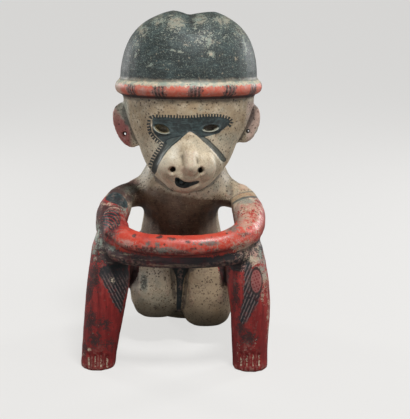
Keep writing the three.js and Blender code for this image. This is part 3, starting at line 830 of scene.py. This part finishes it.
    def wear_and_shade(self):
        """Slip that is worn through, sooty or rubbed pink, and painted shade in some spots, under the upper
        forearm and low on the legs. The outer thighs are left whole.
        """
        outer_thigh = (self.height < 98) & (self.depth > SHIN_BACK + 6) & (np.abs(self.view[:, 0]) > 52)
        where = self.facing * ~outer_thigh
        # Painted shade along the underside of the upper forearm.
        bar_underside_shade = 0.5 * self.upper_bar * step(UPPER_ARM["height"] - self.height, 1, 8)
        # Painted shade low down, on the lower legs and the bottom of the seat.
        low_shade = 0.22 * step(48 - self.view[:, 1], 0, 30) * (self.height < 80)
        soot = np.maximum.reduce([self.spotted(SOOT_AND_SHADE_SPOTS, where), bar_underside_shade, low_shade])
        self.store("wear_and_shade", self.spotted(PALE_SPOTS, where), soot, self.spotted(PINK_SPOTS, where))

    def tone(self):
        """The ears, the seat, and the places where the cream is grey-green."""
        outward, height = np.abs(self.head[:, 0]), self.head[:, 2]
        ear = step(outward, 50, 58) * step(outward, 54, 60) * step(-height, 8, 18) * step(height, -68, -60)
        seat = step(110 - self.height, 0, 16) * (self.red < 0)
        self.store("tone", ear, seat, self.spotted(GREEN_SPOTS, self.facing))

    def relief(self):
        """How hollow the surface is, the painted highlights, and the muzzle, which has few specks."""
        clay = self.clay
        hollow = np.einsum("ij,ij->i", clay.smoothed(HOLLOW_ROUNDS) - clay.at, clay.normal)
        muzzle = step(ring_round(self.view, MUZZLE_CLEAN) + self.off_face, 1.0, 0.7)
        self.store("relief", hollow, self.spotted(PAINTED_HIGHLIGHT_SPOTS, self.facing), muzzle)


# Slip paint

CREAM = (0.68, 0.58, 0.42)
# Pale cream for painted highlights, and for painted light on the ears.
CREAM_HIGHLIGHT = (0.82, 0.78, 0.66)
CREAM_SHADED = (0.46, 0.36, 0.24)
TAN = (0.34, 0.24, 0.14)
TAN_GREY = (0.40, 0.34, 0.25)
OCHRE = (0.42, 0.29, 0.16)
RED = (0.43, 0.036, 0.030)
RED_DARK = (0.19, 0.012, 0.012)
RED_BRIGHT = (0.62, 0.062, 0.034)
BRIM_RED = (0.68, 0.14, 0.085)
EAR_RED = (0.44, 0.10, 0.09)
PINK = (0.60, 0.30, 0.25)
KNEE_PINK = (0.34, 0.115, 0.105)
LINE_GREY = (0.27, 0.19, 0.18)
PURPLE = (0.085, 0.04, 0.045)
# Stains on the cream, also used as painted shade.
STAIN_AND_SHADE = (0.115, 0.042, 0.040)
DEEP_STAIN_AND_SHADE = (0.045, 0.018, 0.019)
BROWN = (0.14, 0.078, 0.044)
BROWN_DARK = (0.065, 0.036, 0.021)
OLIVE = (0.25, 0.205, 0.115)
OLIVE_DARK = (0.085, 0.07, 0.042)
EYE_RIM = (0.46, 0.46, 0.37)
BLACK = (0.011, 0.021, 0.024)
BLACK_GREY = (0.058, 0.096, 0.10)
BAND_GREY = (0.105, 0.13, 0.12)
GREY_GREEN = (0.30, 0.36, 0.30)
ASH = (0.085, 0.088, 0.078)
SPECK_COLOUR = (0.05, 0.026, 0.015)
# Near black, for soot and dark outlines, and for painted shade in the hollows.
SOOT_AND_SHADE = (0.028, 0.023, 0.022)
HOLE_SHADE = (0.012, 0.008, 0.006)
CLAY_PINK = (0.60, 0.36, 0.28)


SOCKETS = {1: "NodeSocketFloat", 3: "NodeSocketVector", 4: "NodeSocketColor"}


def opaque(colour):
    return (*colour, 1.0)


class Flow:
    """What one output of a node gives. Arithmetic on it puts in the nodes that work it out."""

    def __init__(self, recipe, socket):
        self.recipe = recipe
        self.socket = socket

    def __add__(self, other):
        return self.recipe.math("ADD", self, other)

    def __sub__(self, other):
        return self.recipe.math("SUBTRACT", self, other)

    def __rsub__(self, other):
        return self.recipe.math("SUBTRACT", other, self)

    def __mul__(self, other):
        return self.recipe.math("MULTIPLY", self, other)

    def __truediv__(self, other):
        return self.recipe.math("DIVIDE", self, other)

    def __abs__(self):
        return self.recipe.math("ABSOLUTE", self)

    __radd__ = __add__
    __rmul__ = __mul__


class Recipe:
    """Builds a node tree out of flows, plain numbers and colours."""

    def __init__(self, tree):
        self.tree = tree

    def node(self, kind, values=None, **settings):
        made = self.tree.nodes.new(kind)
        for name, value in settings.items():
            setattr(made, name, value)
        for socket, value in (values or {}).items():
            self.feed(made.inputs[socket], value)
        return made

    def feed(self, socket, value):
        if isinstance(value, Flow):
            self.tree.links.new(value.socket, socket)
        elif isinstance(value, tuple) and len(value) == 3 and socket.type == "RGBA":
            socket.default_value = opaque(value)
        else:
            socket.default_value = value

    def out(self, output, kind, values=None, **settings):
        """One output of a new node."""
        return Flow(self, self.node(kind, values, **settings).outputs[output])

    def math(self, operation, *values):
        return self.out(0, "ShaderNodeMath", dict(enumerate(values)), operation=operation)

    def vector(self, operation, **values):
        """Vector arithmetic on the inputs a and b, or on a and a number."""
        places = {"a": 0, "b": 1, "number": 3}
        values = {places[name]: value for name, value in values.items()}
        return self.out(0, "ShaderNodeVectorMath", values, operation=operation)

    def most(self, a, b):
        return self.math("MAXIMUM", a, b)

    def fade(self, value, low, high):
        """0 at low, 1 at high, smooth between."""
        values = {"Value": value, "From Min": low, "From Max": high}
        return self.out("Result", "ShaderNodeMapRange", values, interpolation_type="SMOOTHSTEP")

    def mix(self, share, a, b):
        return self.out(2, "ShaderNodeMix", {0: share, 6: a, 7: b}, data_type="RGBA")

    def place(self):
        return self.out("Object", "ShaderNodeTexCoord")

    def cloud(self, place, scale, detail, roughness):
        values = {"Vector": place, "Scale": scale, "Detail": detail, "Roughness": roughness}
        return self.out("Fac", "ShaderNodeTexNoise", values)

    def noise(self, place, size, detail=3.0, roughness=0.6):
        """Noise from 0 to 1 with bumps of a size in millimetres."""
        return self.cloud(place, 1 / (size * MM), detail, roughness)

    def parts(self, vector):
        return [Flow(self, socket) for socket in self.node("ShaderNodeSeparateXYZ", {0: vector}).outputs]

    def read(self, name):
        """The three numbers that an attribute keeps for each point."""
        return self.parts(self.out("Vector", "ShaderNodeAttribute", attribute_name=name))

    def group(self, fill, output, **inputs):
        """Makes a node group, filled by a function, and gives back another that puts the group in."""
        tree = bpy.data.node_groups.new(fill.__name__, "ShaderNodeTree")
        for name, default in inputs.items():
            kind = SOCKETS[np.size(default)]
            tree.interface.new_socket(name, in_out="INPUT", socket_type=kind).default_value = default
        kind = "NodeSocketColor" if output == "Color" else "NodeSocketFloat"
        tree.interface.new_socket(output, in_out="OUTPUT", socket_type=kind)
        recipe = Recipe(tree)
        sockets = recipe.node("NodeGroupInput").outputs
        filling = fill(recipe, *(Flow(recipe, sockets[name]) for name in inputs))
        recipe.feed(recipe.node("NodeGroupOutput").inputs[0], filling)

        def put_in(*values):
            return self.out(0, "ShaderNodeGroup", dict(enumerate(values)), node_tree=tree)

        return put_in


def ragged_edge(recipe, inside, ragged, soft):
    """A paint's cover from how far inside it a point is, with a brushed, uneven edge."""
    place = recipe.place()
    sway = (recipe.noise(place, 7, 2) - 0.5) * 3.0 + (recipe.noise(place, 1.8, 2) - 0.5) * 1.6
    return recipe.fade((inside + sway * ragged) / soft, -1.0, 1.0)


def mottle(recipe, one, other, lean, size):
    """Two colours of one slip, clouded together at two scales."""
    place = recipe.place()
    amount = recipe.cloud(place, size, 5.0, 0.62) + (recipe.noise(place, 2.2, 2) - 0.5) * 0.35 + lean
    return recipe.mix(recipe.fade(amount, 0.36, 0.66), one, other)


def specks(recipe, size, amount):
    """Small dark grains and pits, here and there."""
    place = recipe.place()
    bent = recipe.out("Color", "ShaderNodeTexNoise", {"Vector": place, "Scale": 900.0, "Detail": 1.0})
    moved = recipe.vector("ADD", a=place, b=recipe.vector("SCALE", a=bent, number=0.0014))
    cells = recipe.node("ShaderNodeTexVoronoi", {"Vector": moved, "Scale": size}).outputs
    pick, grain, _ = recipe.parts(Flow(recipe, cells["Color"]))
    radius = grain * 0.30 + 0.14
    dot = recipe.fade(radius - Flow(recipe, cells["Distance"]), 0.0, 0.12)
    return dot * recipe.math("LESS_THAN", pick, amount)


def worn_through(recipe, patch, everywhere):
    """Where slip has gone: a soft patch, broken up into islands and flecks."""
    place = recipe.place()
    islands = (recipe.noise(place, 5, 5, 0.7) - 0.5) * 1.5
    flecks = (recipe.noise(place, 1.3, 3, 0.7) - 0.5) * 1.3
    return recipe.fade(islands + flecks + patch * 0.62 + everywhere, 0.28, 0.42)


def brush_marks(recipe, stretch, size):
    """Streaks left by the brush and the pebble, along the direction that the stretch leaves long."""
    return recipe.cloud(recipe.vector("MULTIPLY", a=recipe.place(), b=stretch), size, 4.0, 0.65)


class Paint(Recipe):
    """The figure's paint, layer over layer."""

    def __init__(self, tree):
        super().__init__(tree)
        cream, tan = opaque(CREAM), opaque(TAN)
        self.edged = self.group(ragged_edge, "Cover", Inside=0.0, Ragged=1.0, Soft=0.4)
        self.mottled = self.group(mottle, "Color", One=cream, Other=tan, Lean=0.0, Size=60.0)
        self.specks = self.group(specks, "Cover", Size=300.0, Amount=0.5)
        self.worn = self.group(worn_through, "Cover", Patch=0.0, Everywhere=0.0)
        self.brushed = self.group(brush_marks, "Streak", Stretch=(1.0, 1.0, 0.1), Size=500.0)
        self.at = self.place()
        self.across, self.up, self.facing = self.read("front_view")
        self.red_in, self.brown_in, self.black_in = self.read("paint")
        self.mask_in, self.left_band, self.right_band = self.read("mask")
        self.fringe, self.fringe_run, self.by_band = self.read("fringe")
        self.eye_ring, self.eye_over, self.right_eye = self.read("eyes")
        self.hole, self.lips, self.toe = self.read("openings")
        self.upper_bar, self.lower_bar, self.hand = self.read("bars")
        self.pale, self.soot, self.pink = self.read("wear_and_shade")
        self.ear, self.seat, self.green = self.read("tone")
        self.brim_in, self.brim_up, self.turn = self.read("brim")
        self.left_knee, self.right_knee, self.knee_ring = self.read("knees")
        self.hollow, self.lit, self.muzzle = self.read("relief")
        self.shake = self.noise(self.at, 3.5, 2) - 0.5
        self.on_left = self.fade(self.across, 12.0, 2.0)
        # How much the surface faces down; undersides are darkened with it as painted shade.
        self.underside_shade = self.fade(self.parts(self.out("Normal", "ShaderNodeNewGeometry"))[2], 0.15, -0.7)

    def cover(self, colour, share, strength, over):
        """Lays one coat on a colour: where, how strongly, and what."""
        return self.mix(share * strength, colour, over)

    def coats(self, colour, *coats):
        """Lays coats on a colour, one after another."""
        for coat in coats:
            colour = self.cover(colour, *coat)
        return colour

    def line(self, across, width):
        """A brushed line of a width, along the zero of a distance."""
        return self.fade(self.shake * 0.5 + width / 2 - abs(across), -0.35, 0.35)

    def stripes(self, run, pitch, share, offset=0.0):
        """Repeated strokes across a run: 1 on a stroke, 0 between."""
        moved = run + self.shake * (pitch * 0.35)
        phase = self.math("FRACT", (moved + offset) / pitch)
        return self.fade(share / 2 - abs(phase - 0.5), -0.08, 0.08)

    def uneven(self, value, shaken, low, high):
        """A fade whose edge wavers like a brushed line."""
        return self.fade(value + self.shake * shaken, low, high)

    def between(self, value, low, high, soft=0.5):
        return self.fade(value, low - soft, low + soft) * self.fade(value, high + soft, high - soft)

    def broken(self, size, low, high, detail=3, roughness=0.6):
        """Noise that leaves a stroke out here and there."""
        return self.fade(self.noise(self.at, size, detail, roughness), low, high)

    def tilted(self, middle, degrees):
        """Distances along and across a direction in the front view, from a middle."""
        x = self.across - middle[0]
        y = self.up - middle[1]
        cos, sin = math.cos(math.radians(degrees)), math.sin(math.radians(degrees))
        return x * cos + y * sin, y * cos - x * sin

    def cream_slip(self):
        # Painted shadow of the brim: the forehead below it is darkened with ochre and tan.
        brim_shadow = self.between(self.brim_up, -44, -6, 10)
        # The lobe at the viewer's right is tan and brown, partly its own slip and partly painted shade
        # under the forearms.
        seat = self.seat * self.fade(self.across, -16, 2) * self.facing
        colour = self.coats(
            self.mottled(CREAM, CREAM_SHADED, -0.05, 45),
            (self.broken(12, 0.5, 0.72), 0.4, GREY_GREEN),
            (self.broken(1.1, 0.5, 0.66, 4, 0.75), 0.5, TAN),
            (brim_shadow * self.broken(10, 0.25, 0.6), 0.75, self.mottled(OCHRE, TAN, 0, 90)),
            (seat, 0.75, self.mottled(TAN, BROWN, -0.1, 70)),
            # Dark stains, and painted shade where the soot and shade spots fall on the cream.
            (self.worn(self.soot, -0.1), 0.85, self.mottled(STAIN_AND_SHADE, OLIVE_DARK, 0, 130)),
            (self.fade(self.soot, 0.8, 1.25), 0.85, DEEP_STAIN_AND_SHADE),
            # Painted highlights in pale cream.
            (self.lit * self.broken(5, 0.25, 0.5), 0.65, CREAM_HIGHLIGHT),
            (self.green * self.broken(3, 0.3, 0.55), 0.6, GREY_GREEN),
            (self.fade(self.green, 0.5, 1.1) * self.broken(1.6, 0.36, 0.48), 0.85, ASH),
            (self.pink * self.broken(4, 0.3, 0.6), 0.7, PINK),
        )
        blush = self.ear * self.broken(8, 0.3, 0.48) * (1 - self.on_left)
        _, inward = self.tilted((-65, 237), -53.4)
        lower_edge = self.uneven(inward, 6, 3, -1)
        risen = self.uneven(self.up, 14, 221, 234)
        colour = self.coats(
            colour,
            # The ears' fronts are pale cream and grey-green: partly their own slip, partly painted light
            # where the brim shades them.
            (self.ear, 0.75, self.mottled(CREAM_HIGHLIGHT, GREY_GREEN, 0, 70)),
            # The left ear's red edge turns pink towards the top as a painted highlight.
            (self.ear * lower_edge * self.on_left, 0.9, self.mix(risen, EAR_RED, PINK)),
            (blush, 0.5, PINK),
            # Painted shade on the undersides of the seat.
            (self.seat * self.underside_shade, 0.75, OLIVE_DARK),
        )
        large = self.broken(3.2, 0.58, 0.66, 4, 0.7) * self.seat
        lit_lobe = 0.4 + self.fade(self.across, -34, -2) * 0.6
        dots = self.most(self.specks(440, 0.85) * 0.6, self.specks(330, 0.5) * 0.8)
        dots = self.most(dots * (1 - self.muzzle * 0.75), large * lit_lobe * 0.6)
        return self.mix(dots, colour, SPECK_COLOUR)

    def brown_slip(self, colour):
        brown = self.coats(
            self.mottled(BROWN, BROWN_DARK, -0.06, 90),
            (self.fade(self.brushed((0.25, 0.25, 1), 900), 0.5, 0.7), 0.4, TAN),
            (self.worn(0.1), 0.6, CREAM_SHADED),
        )
        at_edge = self.between(self.brown_in, -1, 1.6) * self.broken(1.6, 0.46, 0.56)
        return self.coats(
            colour,
            (self.edged(self.brown_in, 2, 3.2), 0.9, brown),
            (at_edge * self.fade(self.across, 12, 22), 0.85, CREAM),
        )

    def streaked_and_shaded_bar(self):
        """The lower forearm: grey and purple strokes along it, turning black towards the viewer's right as
        painted shade under the upper forearm.
        """
        streak = self.fade(self.brushed((0.06, 0.5, 1), 420), 0.5, 0.76)
        return self.coats(
            self.mix(streak, PURPLE, CREAM_SHADED),
            (self.fade(self.brushed((0.05, 0.6, 1), 900), 0.5, 0.62), 0.8, SOOT_AND_SHADE),
            (self.broken(9, 0.5, 0.66), 0.5, RED_DARK),
            # Painted shade under the upper forearm, towards the viewer's right.
            (self.fade(self.across, -14, 24), 0.7, BLACK),
        )

    def under_red(self):
        """What shows where the red is worn through."""
        return self.coats(
            self.mottled(CREAM_SHADED, CREAM, 0, 120),
            (self.broken(4, 0.4, 0.55), 0.7, PINK),
            (self.fade(self.green, 0.05, 0.45), 0.95, self.mix(self.upper_bar, GREY_GREEN, ASH)),
        )

    def red_slip(self, colour):
        streak = self.fade(self.brushed((1, 1, 0.1), 260), 0.3, 0.62)
        red = self.coats(
            self.mix(streak, RED_DARK, RED),
            (self.broken(12, 0.5, 0.66), 0.55, RED_DARK),
            # Painted shade: the red darkens towards the feet.
            (self.fade(self.up, 70, -10) * self.broken(8, 0.2, 0.55), 0.85, RED_DARK),
        )
        red = self.mix(self.upper_bar, red, self.mottled(RED_BRIGHT, RED, -0.12, 90))
        red = self.mix(self.lower_bar, red, self.streaked_and_shaded_bar())
        tip = self.fade(self.toe, 1.3, 0.5) * self.uneven(self.up, 16, -9, -14)
        red = self.coats(
            red,
            (self.worn(self.pink, -0.1), 0.75, PINK),
            # Soot, and painted shade under the upper forearm, low on the legs and on the inner thighs.
            (self.worn(self.soot, -0.05), 0.88, self.mottled(SOOT_AND_SHADE, RED_DARK, -0.16, 200)),
            # Painted shade on the underside of the upper forearm.
            (self.upper_bar * self.underside_shade, 0.6, RED_DARK),
            (self.worn(self.pale, -0.1), 0.85, self.under_red()),
            (self.green * self.broken(5, 0.4, 0.6), 0.4, GREY_GREEN),
            (self.specks(300, 0.14 + self.pale * 0.25), 0.75, SPECK_COLOUR),
            (tip * self.broken(1.7, 0.44, 0.54), 0.85, CREAM),
        )
        return self.mix(self.edged(self.red_in, 2, 1.2), colour, red)

    def black_slip(self, colour):
        on_cap = self.fade(self.brim_up, 2, 4)
        inside = self.most(self.black_in, self.mask_in)
        cover = self.edged(inside, 0.35 + on_cap * 0.7, 0.45 + on_cap * 1.6)
        scratch = self.brushed((0.14, 0.14, 1), 700)
        high = self.fade(self.brim_up, 30, 70)
        under = self.mottled(GREY_GREEN, TAN_GREY, 0, 110)
        under = self.cover(under, self.fade(self.pale, 0.95, 1.2), 0.9, CREAM)
        scuffed = self.broken(1.3, 0.53 - high * 0.05, 0.66, 4, 0.8)
        dark = self.coats(
            BLACK,
            (self.broken(13, 0.42, 0.72), 0.5, BLACK_GREY),
            (self.broken(3.5, 0.48, 0.66) * (1 - on_cap), 0.5, BLACK_GREY),
            (self.fade(scratch, 0.48, 0.7), 0.75, BLACK_GREY),
            (self.fade(self.brim_up, -120, -130), 0.8, BLACK),
            (self.fade(scratch, 0.64, 0.7) * on_cap, 0.5, GREY_GREEN),
            (self.worn(self.pale, high * 0.06 - 0.03) * on_cap, 0.72, under),
            (scuffed * on_cap, 0.7, GREY_GREEN),
            (self.specks(420, 0.14) * on_cap, 0.5, TAN_GREY),
        )
        return self.cover(colour, cover, 0.97, dark)

    def brim_band(self, colour):
        """A red band round the roll with groups of dark stripes, under a worn grey edge."""
        on_roll = self.edged(self.brim_in, 0.4, 0.5)
        worn_edge = self.mottled(GREY_GREEN, CREAM, -0.02, 160)
        worn_edge = self.cover(worn_edge, self.specks(400, 0.4), 0.7, BLACK_GREY)
        risen = self.brim_up + (self.noise(self.at, 4, 4, 0.7) - 0.5) * 9
        above = self.fade(self.brim_up, -1, 1) * self.fade(risen, 10.5, 7.5)
        colour = self.cover(colour, above, 0.9, worn_edge)
        degrees = self.turn * (180 / math.pi)
        centred = (self.math("FRACT", (degrees + BRIM_START) / BRIM_PITCH) - 0.5) * BRIM_PITCH
        group = self.fade(abs(centred + self.shake * 7), 6.2, 4.4)
        strokes = self.stripes(centred, 2.9, 0.58, 1.45) * group
        red = self.coats(
            self.mottled(BRIM_RED, PINK, -0.08, 100),
            (group * self.broken(3, 0.3, 0.5), 0.65, BLACK_GREY),
            (strokes * self.broken(2, 0.3, 0.46), 0.9, BLACK),
            (self.worn(0.08), 0.7, CREAM),
            # The left end of the roll is cream and pink: partly worn slip, partly a painted highlight.
            (self.between(degrees, -96, -64, 4), 0.9, self.mottled(CREAM, PINK, 0, 110)),
        )
        shaken = self.brim_up + self.shake * 2
        chipped = self.most(self.noise(self.at, 3, 4, 0.8) - 0.48, 0)
        colour = self.mix(on_roll * self.fade(shaken + chipped * 16, 4.4, 3.2), colour, red)
        return self.cover(colour, self.fade(shaken, -5.4, -7.2) * on_roll, 0.85, SOOT_AND_SHADE)

    def mask_marks(self, colour):
        """The two bands down the muzzle, and the fringe of short strokes beside them."""
        left = self.uneven(self.left_band, 0.6, -0.4, 0.4)
        inner = self.uneven(self.fringe, 1.5, -2.4, -3.8) * self.fade(self.left_band, 0.6, 1.3)
        left_colour = self.cover(BLACK, inner * self.fade(self.up, 176, 188), 0.85, BAND_GREY)
        right = self.uneven(self.right_band, 0.8, -0.4, 0.4) * self.broken(2.2, 0.22, 0.4)
        right_colour = self.cover(BLACK, self.fade(self.right_band, 0.5, 1.3), 0.85, BAND_GREY)
        by_mask = 1 - self.by_band
        longer = self.fade(self.fringe_run, 26, 34) * by_mask
        reach = self.between(self.fringe + longer * 1.4, -0.3, 3.3, 0.35)
        gap = self.between(self.fringe, -2, -0.4, 0.3) * self.between(self.fringe_run, 12, 24, 1)
        ticks = self.stripes(self.fringe_run, 2.9, 0.64) * reach
        outline = self.line(self.fringe, 1.2) * self.fade(self.fringe_run, 25, 22) * by_mask
        return self.coats(
            colour,
            (left, 0.94, left_colour),
            (right, 0.88, right_colour),
            (gap * by_mask, 0.7, CREAM_SHADED),
            (self.most(ticks, outline) * self.broken(2.4, 0.24, 0.4), 0.97, BLACK),
        )

    def eye_paint(self, colour):
        """Olive eyes with a pale lower rim. The one at the viewer's right has a dark slit."""
        olive = self.mottled(OLIVE, OLIVE_DARK, -0.04, 260)
        slit = self.right_eye * self.uneven(self.eye_over, 0.4, -0.25, 0.05)
        lower = self.fade(self.eye_over, 0.1, -0.35)
        return self.coats(
            colour,
            (self.fade(self.eye_ring, 1.04, 0.92), 0.95, self.cover(olive, slit, 0.8, SPECK_COLOUR)),
            (self.between(self.eye_ring, 0.98, 1.16, 0.08) * lower, 0.7, EYE_RIM),
            (self.between(self.eye_ring, 0.5, 1, 0.12) * lower * self.right_eye, 0.75, EYE_RIM),
        )

    def mouth_and_holes(self, colour):
        lit_lip = self.between(self.lips, -2.2, -0.4, 0.3) * self.fade(self.across, 2, 8)
        return self.coats(
            colour,
            (lit_lip, 0.6, CREAM),
            (self.uneven(self.lips, 0.6, -0.3, 0.35), 0.97, BLACK),
            # Painted shade: the nostrils and the holes in the ears are near black inside.
            (self.fade(self.hole, 0.35, -0.45), 0.96, HOLE_SHADE),
        )

    def knee_lines(self, colour):
        """Bundles of lines down the knees, and a dotted ring on the one at the viewer's right."""
        dark = self.mottled(BLACK, RED_DARK, -0.16, 160)
        _, over_left = self.tilted((-72, 52), -62.7)
        left = self.uneven(self.left_knee, 7, -1, 1.2)
        low = self.uneven(self.up, 24, 76, 58)
        left_lines = self.stripes(over_left, 3, 0.36, 0.9) * left * low
        _, over_right = self.tilted((68, 50), 67)
        right = self.uneven(self.right_knee, 5, -1, 1.2)
        right_lines = self.stripes(over_right, 3.1, 0.38, 0.6) * right
        in_ring = self.fade(self.knee_ring, 1, 0.86)
        along, over = self.tilted(KNEE_RING["middle"], 24)
        dots = in_ring * self.stripes(along, 2.9, 0.5) * self.stripes(over, 3.2, 0.5)
        return self.coats(
            colour,
            (left * self.broken(4, 0.2, 0.34), 0.97, dark),
            (left_lines * self.broken(3, 0.36, 0.5), 0.75, LINE_GREY),
            (self.worn(self.pale - 0.6) * left, 0.9, CREAM),
            (right * self.broken(4, 0.2, 0.34), 0.95, dark),
            (right_lines * self.broken(3, 0.36, 0.5), 0.7, LINE_GREY),
            (in_ring, 0.85, KNEE_PINK),
            (dots * self.broken(3, 0.3, 0.5), 0.9, RED_DARK),
            (self.fade(abs(self.knee_ring - 1.05), 0.15, 0.06), 0.85, SOOT_AND_SHADE),
        )

    def shoulder_lines(self, colour):
        """Thin dark lines across the arm at the viewer's right, with a tan band between them."""
        along, over = self.tilted((64, 148), 15)
        bowed = over + along * along * 0.018
        span = self.between(along, -13, 14, 1.5) * self.facing
        lines = self.most(self.line(bowed, 1.9), self.line(bowed - 5.4, 0.9) * 0.8)
        return self.coats(
            colour,
            (self.between(bowed, -0.5, 5, 0.6) * span, 0.55, OCHRE),
            (lines * span, 0.8, BLACK_GREY),
        )

    def hand_paint(self, colour):
        """A dark round patch with curved red strokes on the hand."""
        along, over = self.tilted(HAND_PATCH["middle"], 58)
        strokes = self.stripes(along + over * over * 0.06, 3.2, 0.3, 0.6)
        dark = self.coats(
            BLACK,
            (strokes * self.broken(3, 0.34, 0.5), 0.7, RED),
            (self.specks(380, 0.3), 0.5, CREAM_SHADED),
        )
        return self.cover(colour, self.uneven(self.hand, 0.35, 1.12, 0.92), 0.96, dark)

    def hollow_shade_and_worn_edges(self, colour):
        """Painted shade in the hollows, and bare worn clay on the edges."""
        hollow_shade = self.uneven(self.hollow, 0.12, 0.10, 0.5)
        edge = self.fade(self.hollow * -1, 0.4, 0.8)
        return self.coats(
            colour,
            # Painted shade in the hollows.
            (hollow_shade * self.fade(self.toe, 1.5, 4), 0.6, SOOT_AND_SHADE),
            (edge * self.broken(2.6, 0.42, 0.62), 0.3, CLAY_PINK),
        )


def painted_clay():
    """Burnished slip: the layers of paint, satin, with fine scratches and pits."""
    material = bpy.data.materials.new("painted_clay")
    material.use_nodes = True
    material.node_tree.nodes.clear()
    paint = Paint(material.node_tree)
    colour = paint.cream_slip()
    for layer in (
        paint.brown_slip, paint.red_slip, paint.shoulder_lines, paint.hand_paint, paint.knee_lines,
        paint.black_slip, paint.brim_band, paint.mask_marks, paint.eye_paint, paint.hollow_shade_and_worn_edges,
        paint.mouth_and_holes,
    ):
        colour = layer(colour)
    roughness = (
        0.36 + paint.noise(paint.at, 9, 4) * 0.3 + paint.fade(paint.black_in, 0, 2) * 0.06
        + paint.soot * 0.25 + paint.fade(paint.lips, -0.3, 0.3) * 0.35 - paint.upper_bar * 0.16
    )
    grain = paint.noise(paint.at, 0.9, 3, 0.7) * 0.10
    strokes = paint.brushed((1, 1, 0.14), 700) * 0.10
    relief = grain + strokes - paint.specks(520, 0.3) * 0.12
    bump = paint.out(0, "ShaderNodeBump", {"Height": relief, "Distance": MM, "Strength": 0.8})
    values = {"Base Color": colour, "Roughness": roughness, "Normal": bump, "IOR": 1.47}
    paint.node("ShaderNodeOutputMaterial", {"Surface": paint.out(0, "ShaderNodeBsdfPrincipled", values)})
    return material


# Camera, lights and room. A light has a name, a place and a size in metres, and a power in watts.

LIGHTS = (
    ("key", (0.22, -0.56, 1.42), 0.3, 17),
    ("left", (-0.95, 0.7, 0.4), 0.3, 5),
    ("right", (0.95, 0.7, 0.45), 0.3, 6),
    ("left side", (-1.25, -0.45, 0.25), 0.4, 3),
    ("right side", (1.2, -0.5, 0.35), 0.4, 3),
    ("front", (-0.4, -1.4, 0.2), 0.6, 2.4),
)
LIT_PLACE = (0, 0, 0.15)
ROOM_GLOW = 0.05
BACKDROP = 0.66
ROOM_COLOUR = (0.92, 0.95, 1)
FLOOR_COLOUR = (0.14, 0.138, 0.135)
FLOOR_GLOW_COLOUR = (1, 0.99, 0.97)
FLOOR_ROUGHNESS = 0.85
FLOOR_REACH = 12


def aim(thing, way):
    thing.rotation_euler = way.to_track_quat("-Z", "Y").to_euler()


def make_camera():
    data = bpy.data.cameras.new("camera")
    data.sensor_width = SENSOR
    data.lens = SENSOR * VIEW_DISTANCE / IMAGE_SIDE
    data.clip_start = 0.05
    camera = placed("camera", data)
    camera.location = Vector(EYE * MM)
    aim(camera, Vector(sight(*IMAGE_MIDDLE)))
    bpy.context.scene.camera = camera


def make_light(name, place, size, power):
    data = bpy.data.lights.new(name, "AREA")
    data.shape = "DISK"
    data.size = size
    data.energy = power
    light = placed(name, data)
    light.location = place
    aim(light, Vector(LIT_PLACE) - Vector(place))


def glow(tree, socket, for_all):
    """Makes a surface pale to the camera, and much less so to everything that it lights."""
    recipe = Recipe(tree)
    recipe.feed(socket, recipe.out("Is Camera Ray", "ShaderNodeLightPath") * BACKDROP + for_all)


def make_room():
    world = bpy.data.worlds.new("studio")
    world.use_nodes = True
    background = world.node_tree.nodes["Background"]
    background.inputs["Color"].default_value = opaque(ROOM_COLOUR)
    glow(world.node_tree, background.inputs["Strength"], ROOM_GLOW)
    bpy.context.scene.world = world
    bpy.context.scene.view_settings.view_transform = "Standard"


def make_floor():
    mesh = bpy.data.meshes.new("floor")
    bm = bmesh.new()
    bmesh.ops.create_grid(bm, x_segments=1, y_segments=1, size=FLOOR_REACH)
    bm.to_mesh(mesh)
    bm.free()
    material = bpy.data.materials.new("floor")
    material.use_nodes = True
    shader = material.node_tree.nodes["Principled BSDF"]
    shader.inputs["Base Color"].default_value = opaque(FLOOR_COLOUR)
    shader.inputs["Roughness"].default_value = FLOOR_ROUGHNESS
    shader.inputs["Emission Color"].default_value = opaque(FLOOR_GLOW_COLOUR)
    glow(material.node_tree, shader.inputs["Emission Strength"], 0.0)
    mesh.materials.append(material)
    placed("floor", mesh)


make_camera()
make_room()
make_floor()
for light in LIGHTS:
    make_light(*light)

figure = copied_body()
clay = Clay(figure.data)
clay.relax(RELAXING)
clay.soften(EASE * eased(clay.at), EASE_ROUNDS)
clay.write()
carve(clay)
clay = thinned(figure)
Layout(clay).store_all()
figure.data.polygons.foreach_set("use_smooth", np.ones(len(figure.data.polygons), bool))
figure.data.materials.append(painted_clay())
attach(figure, "root")
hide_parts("figure")
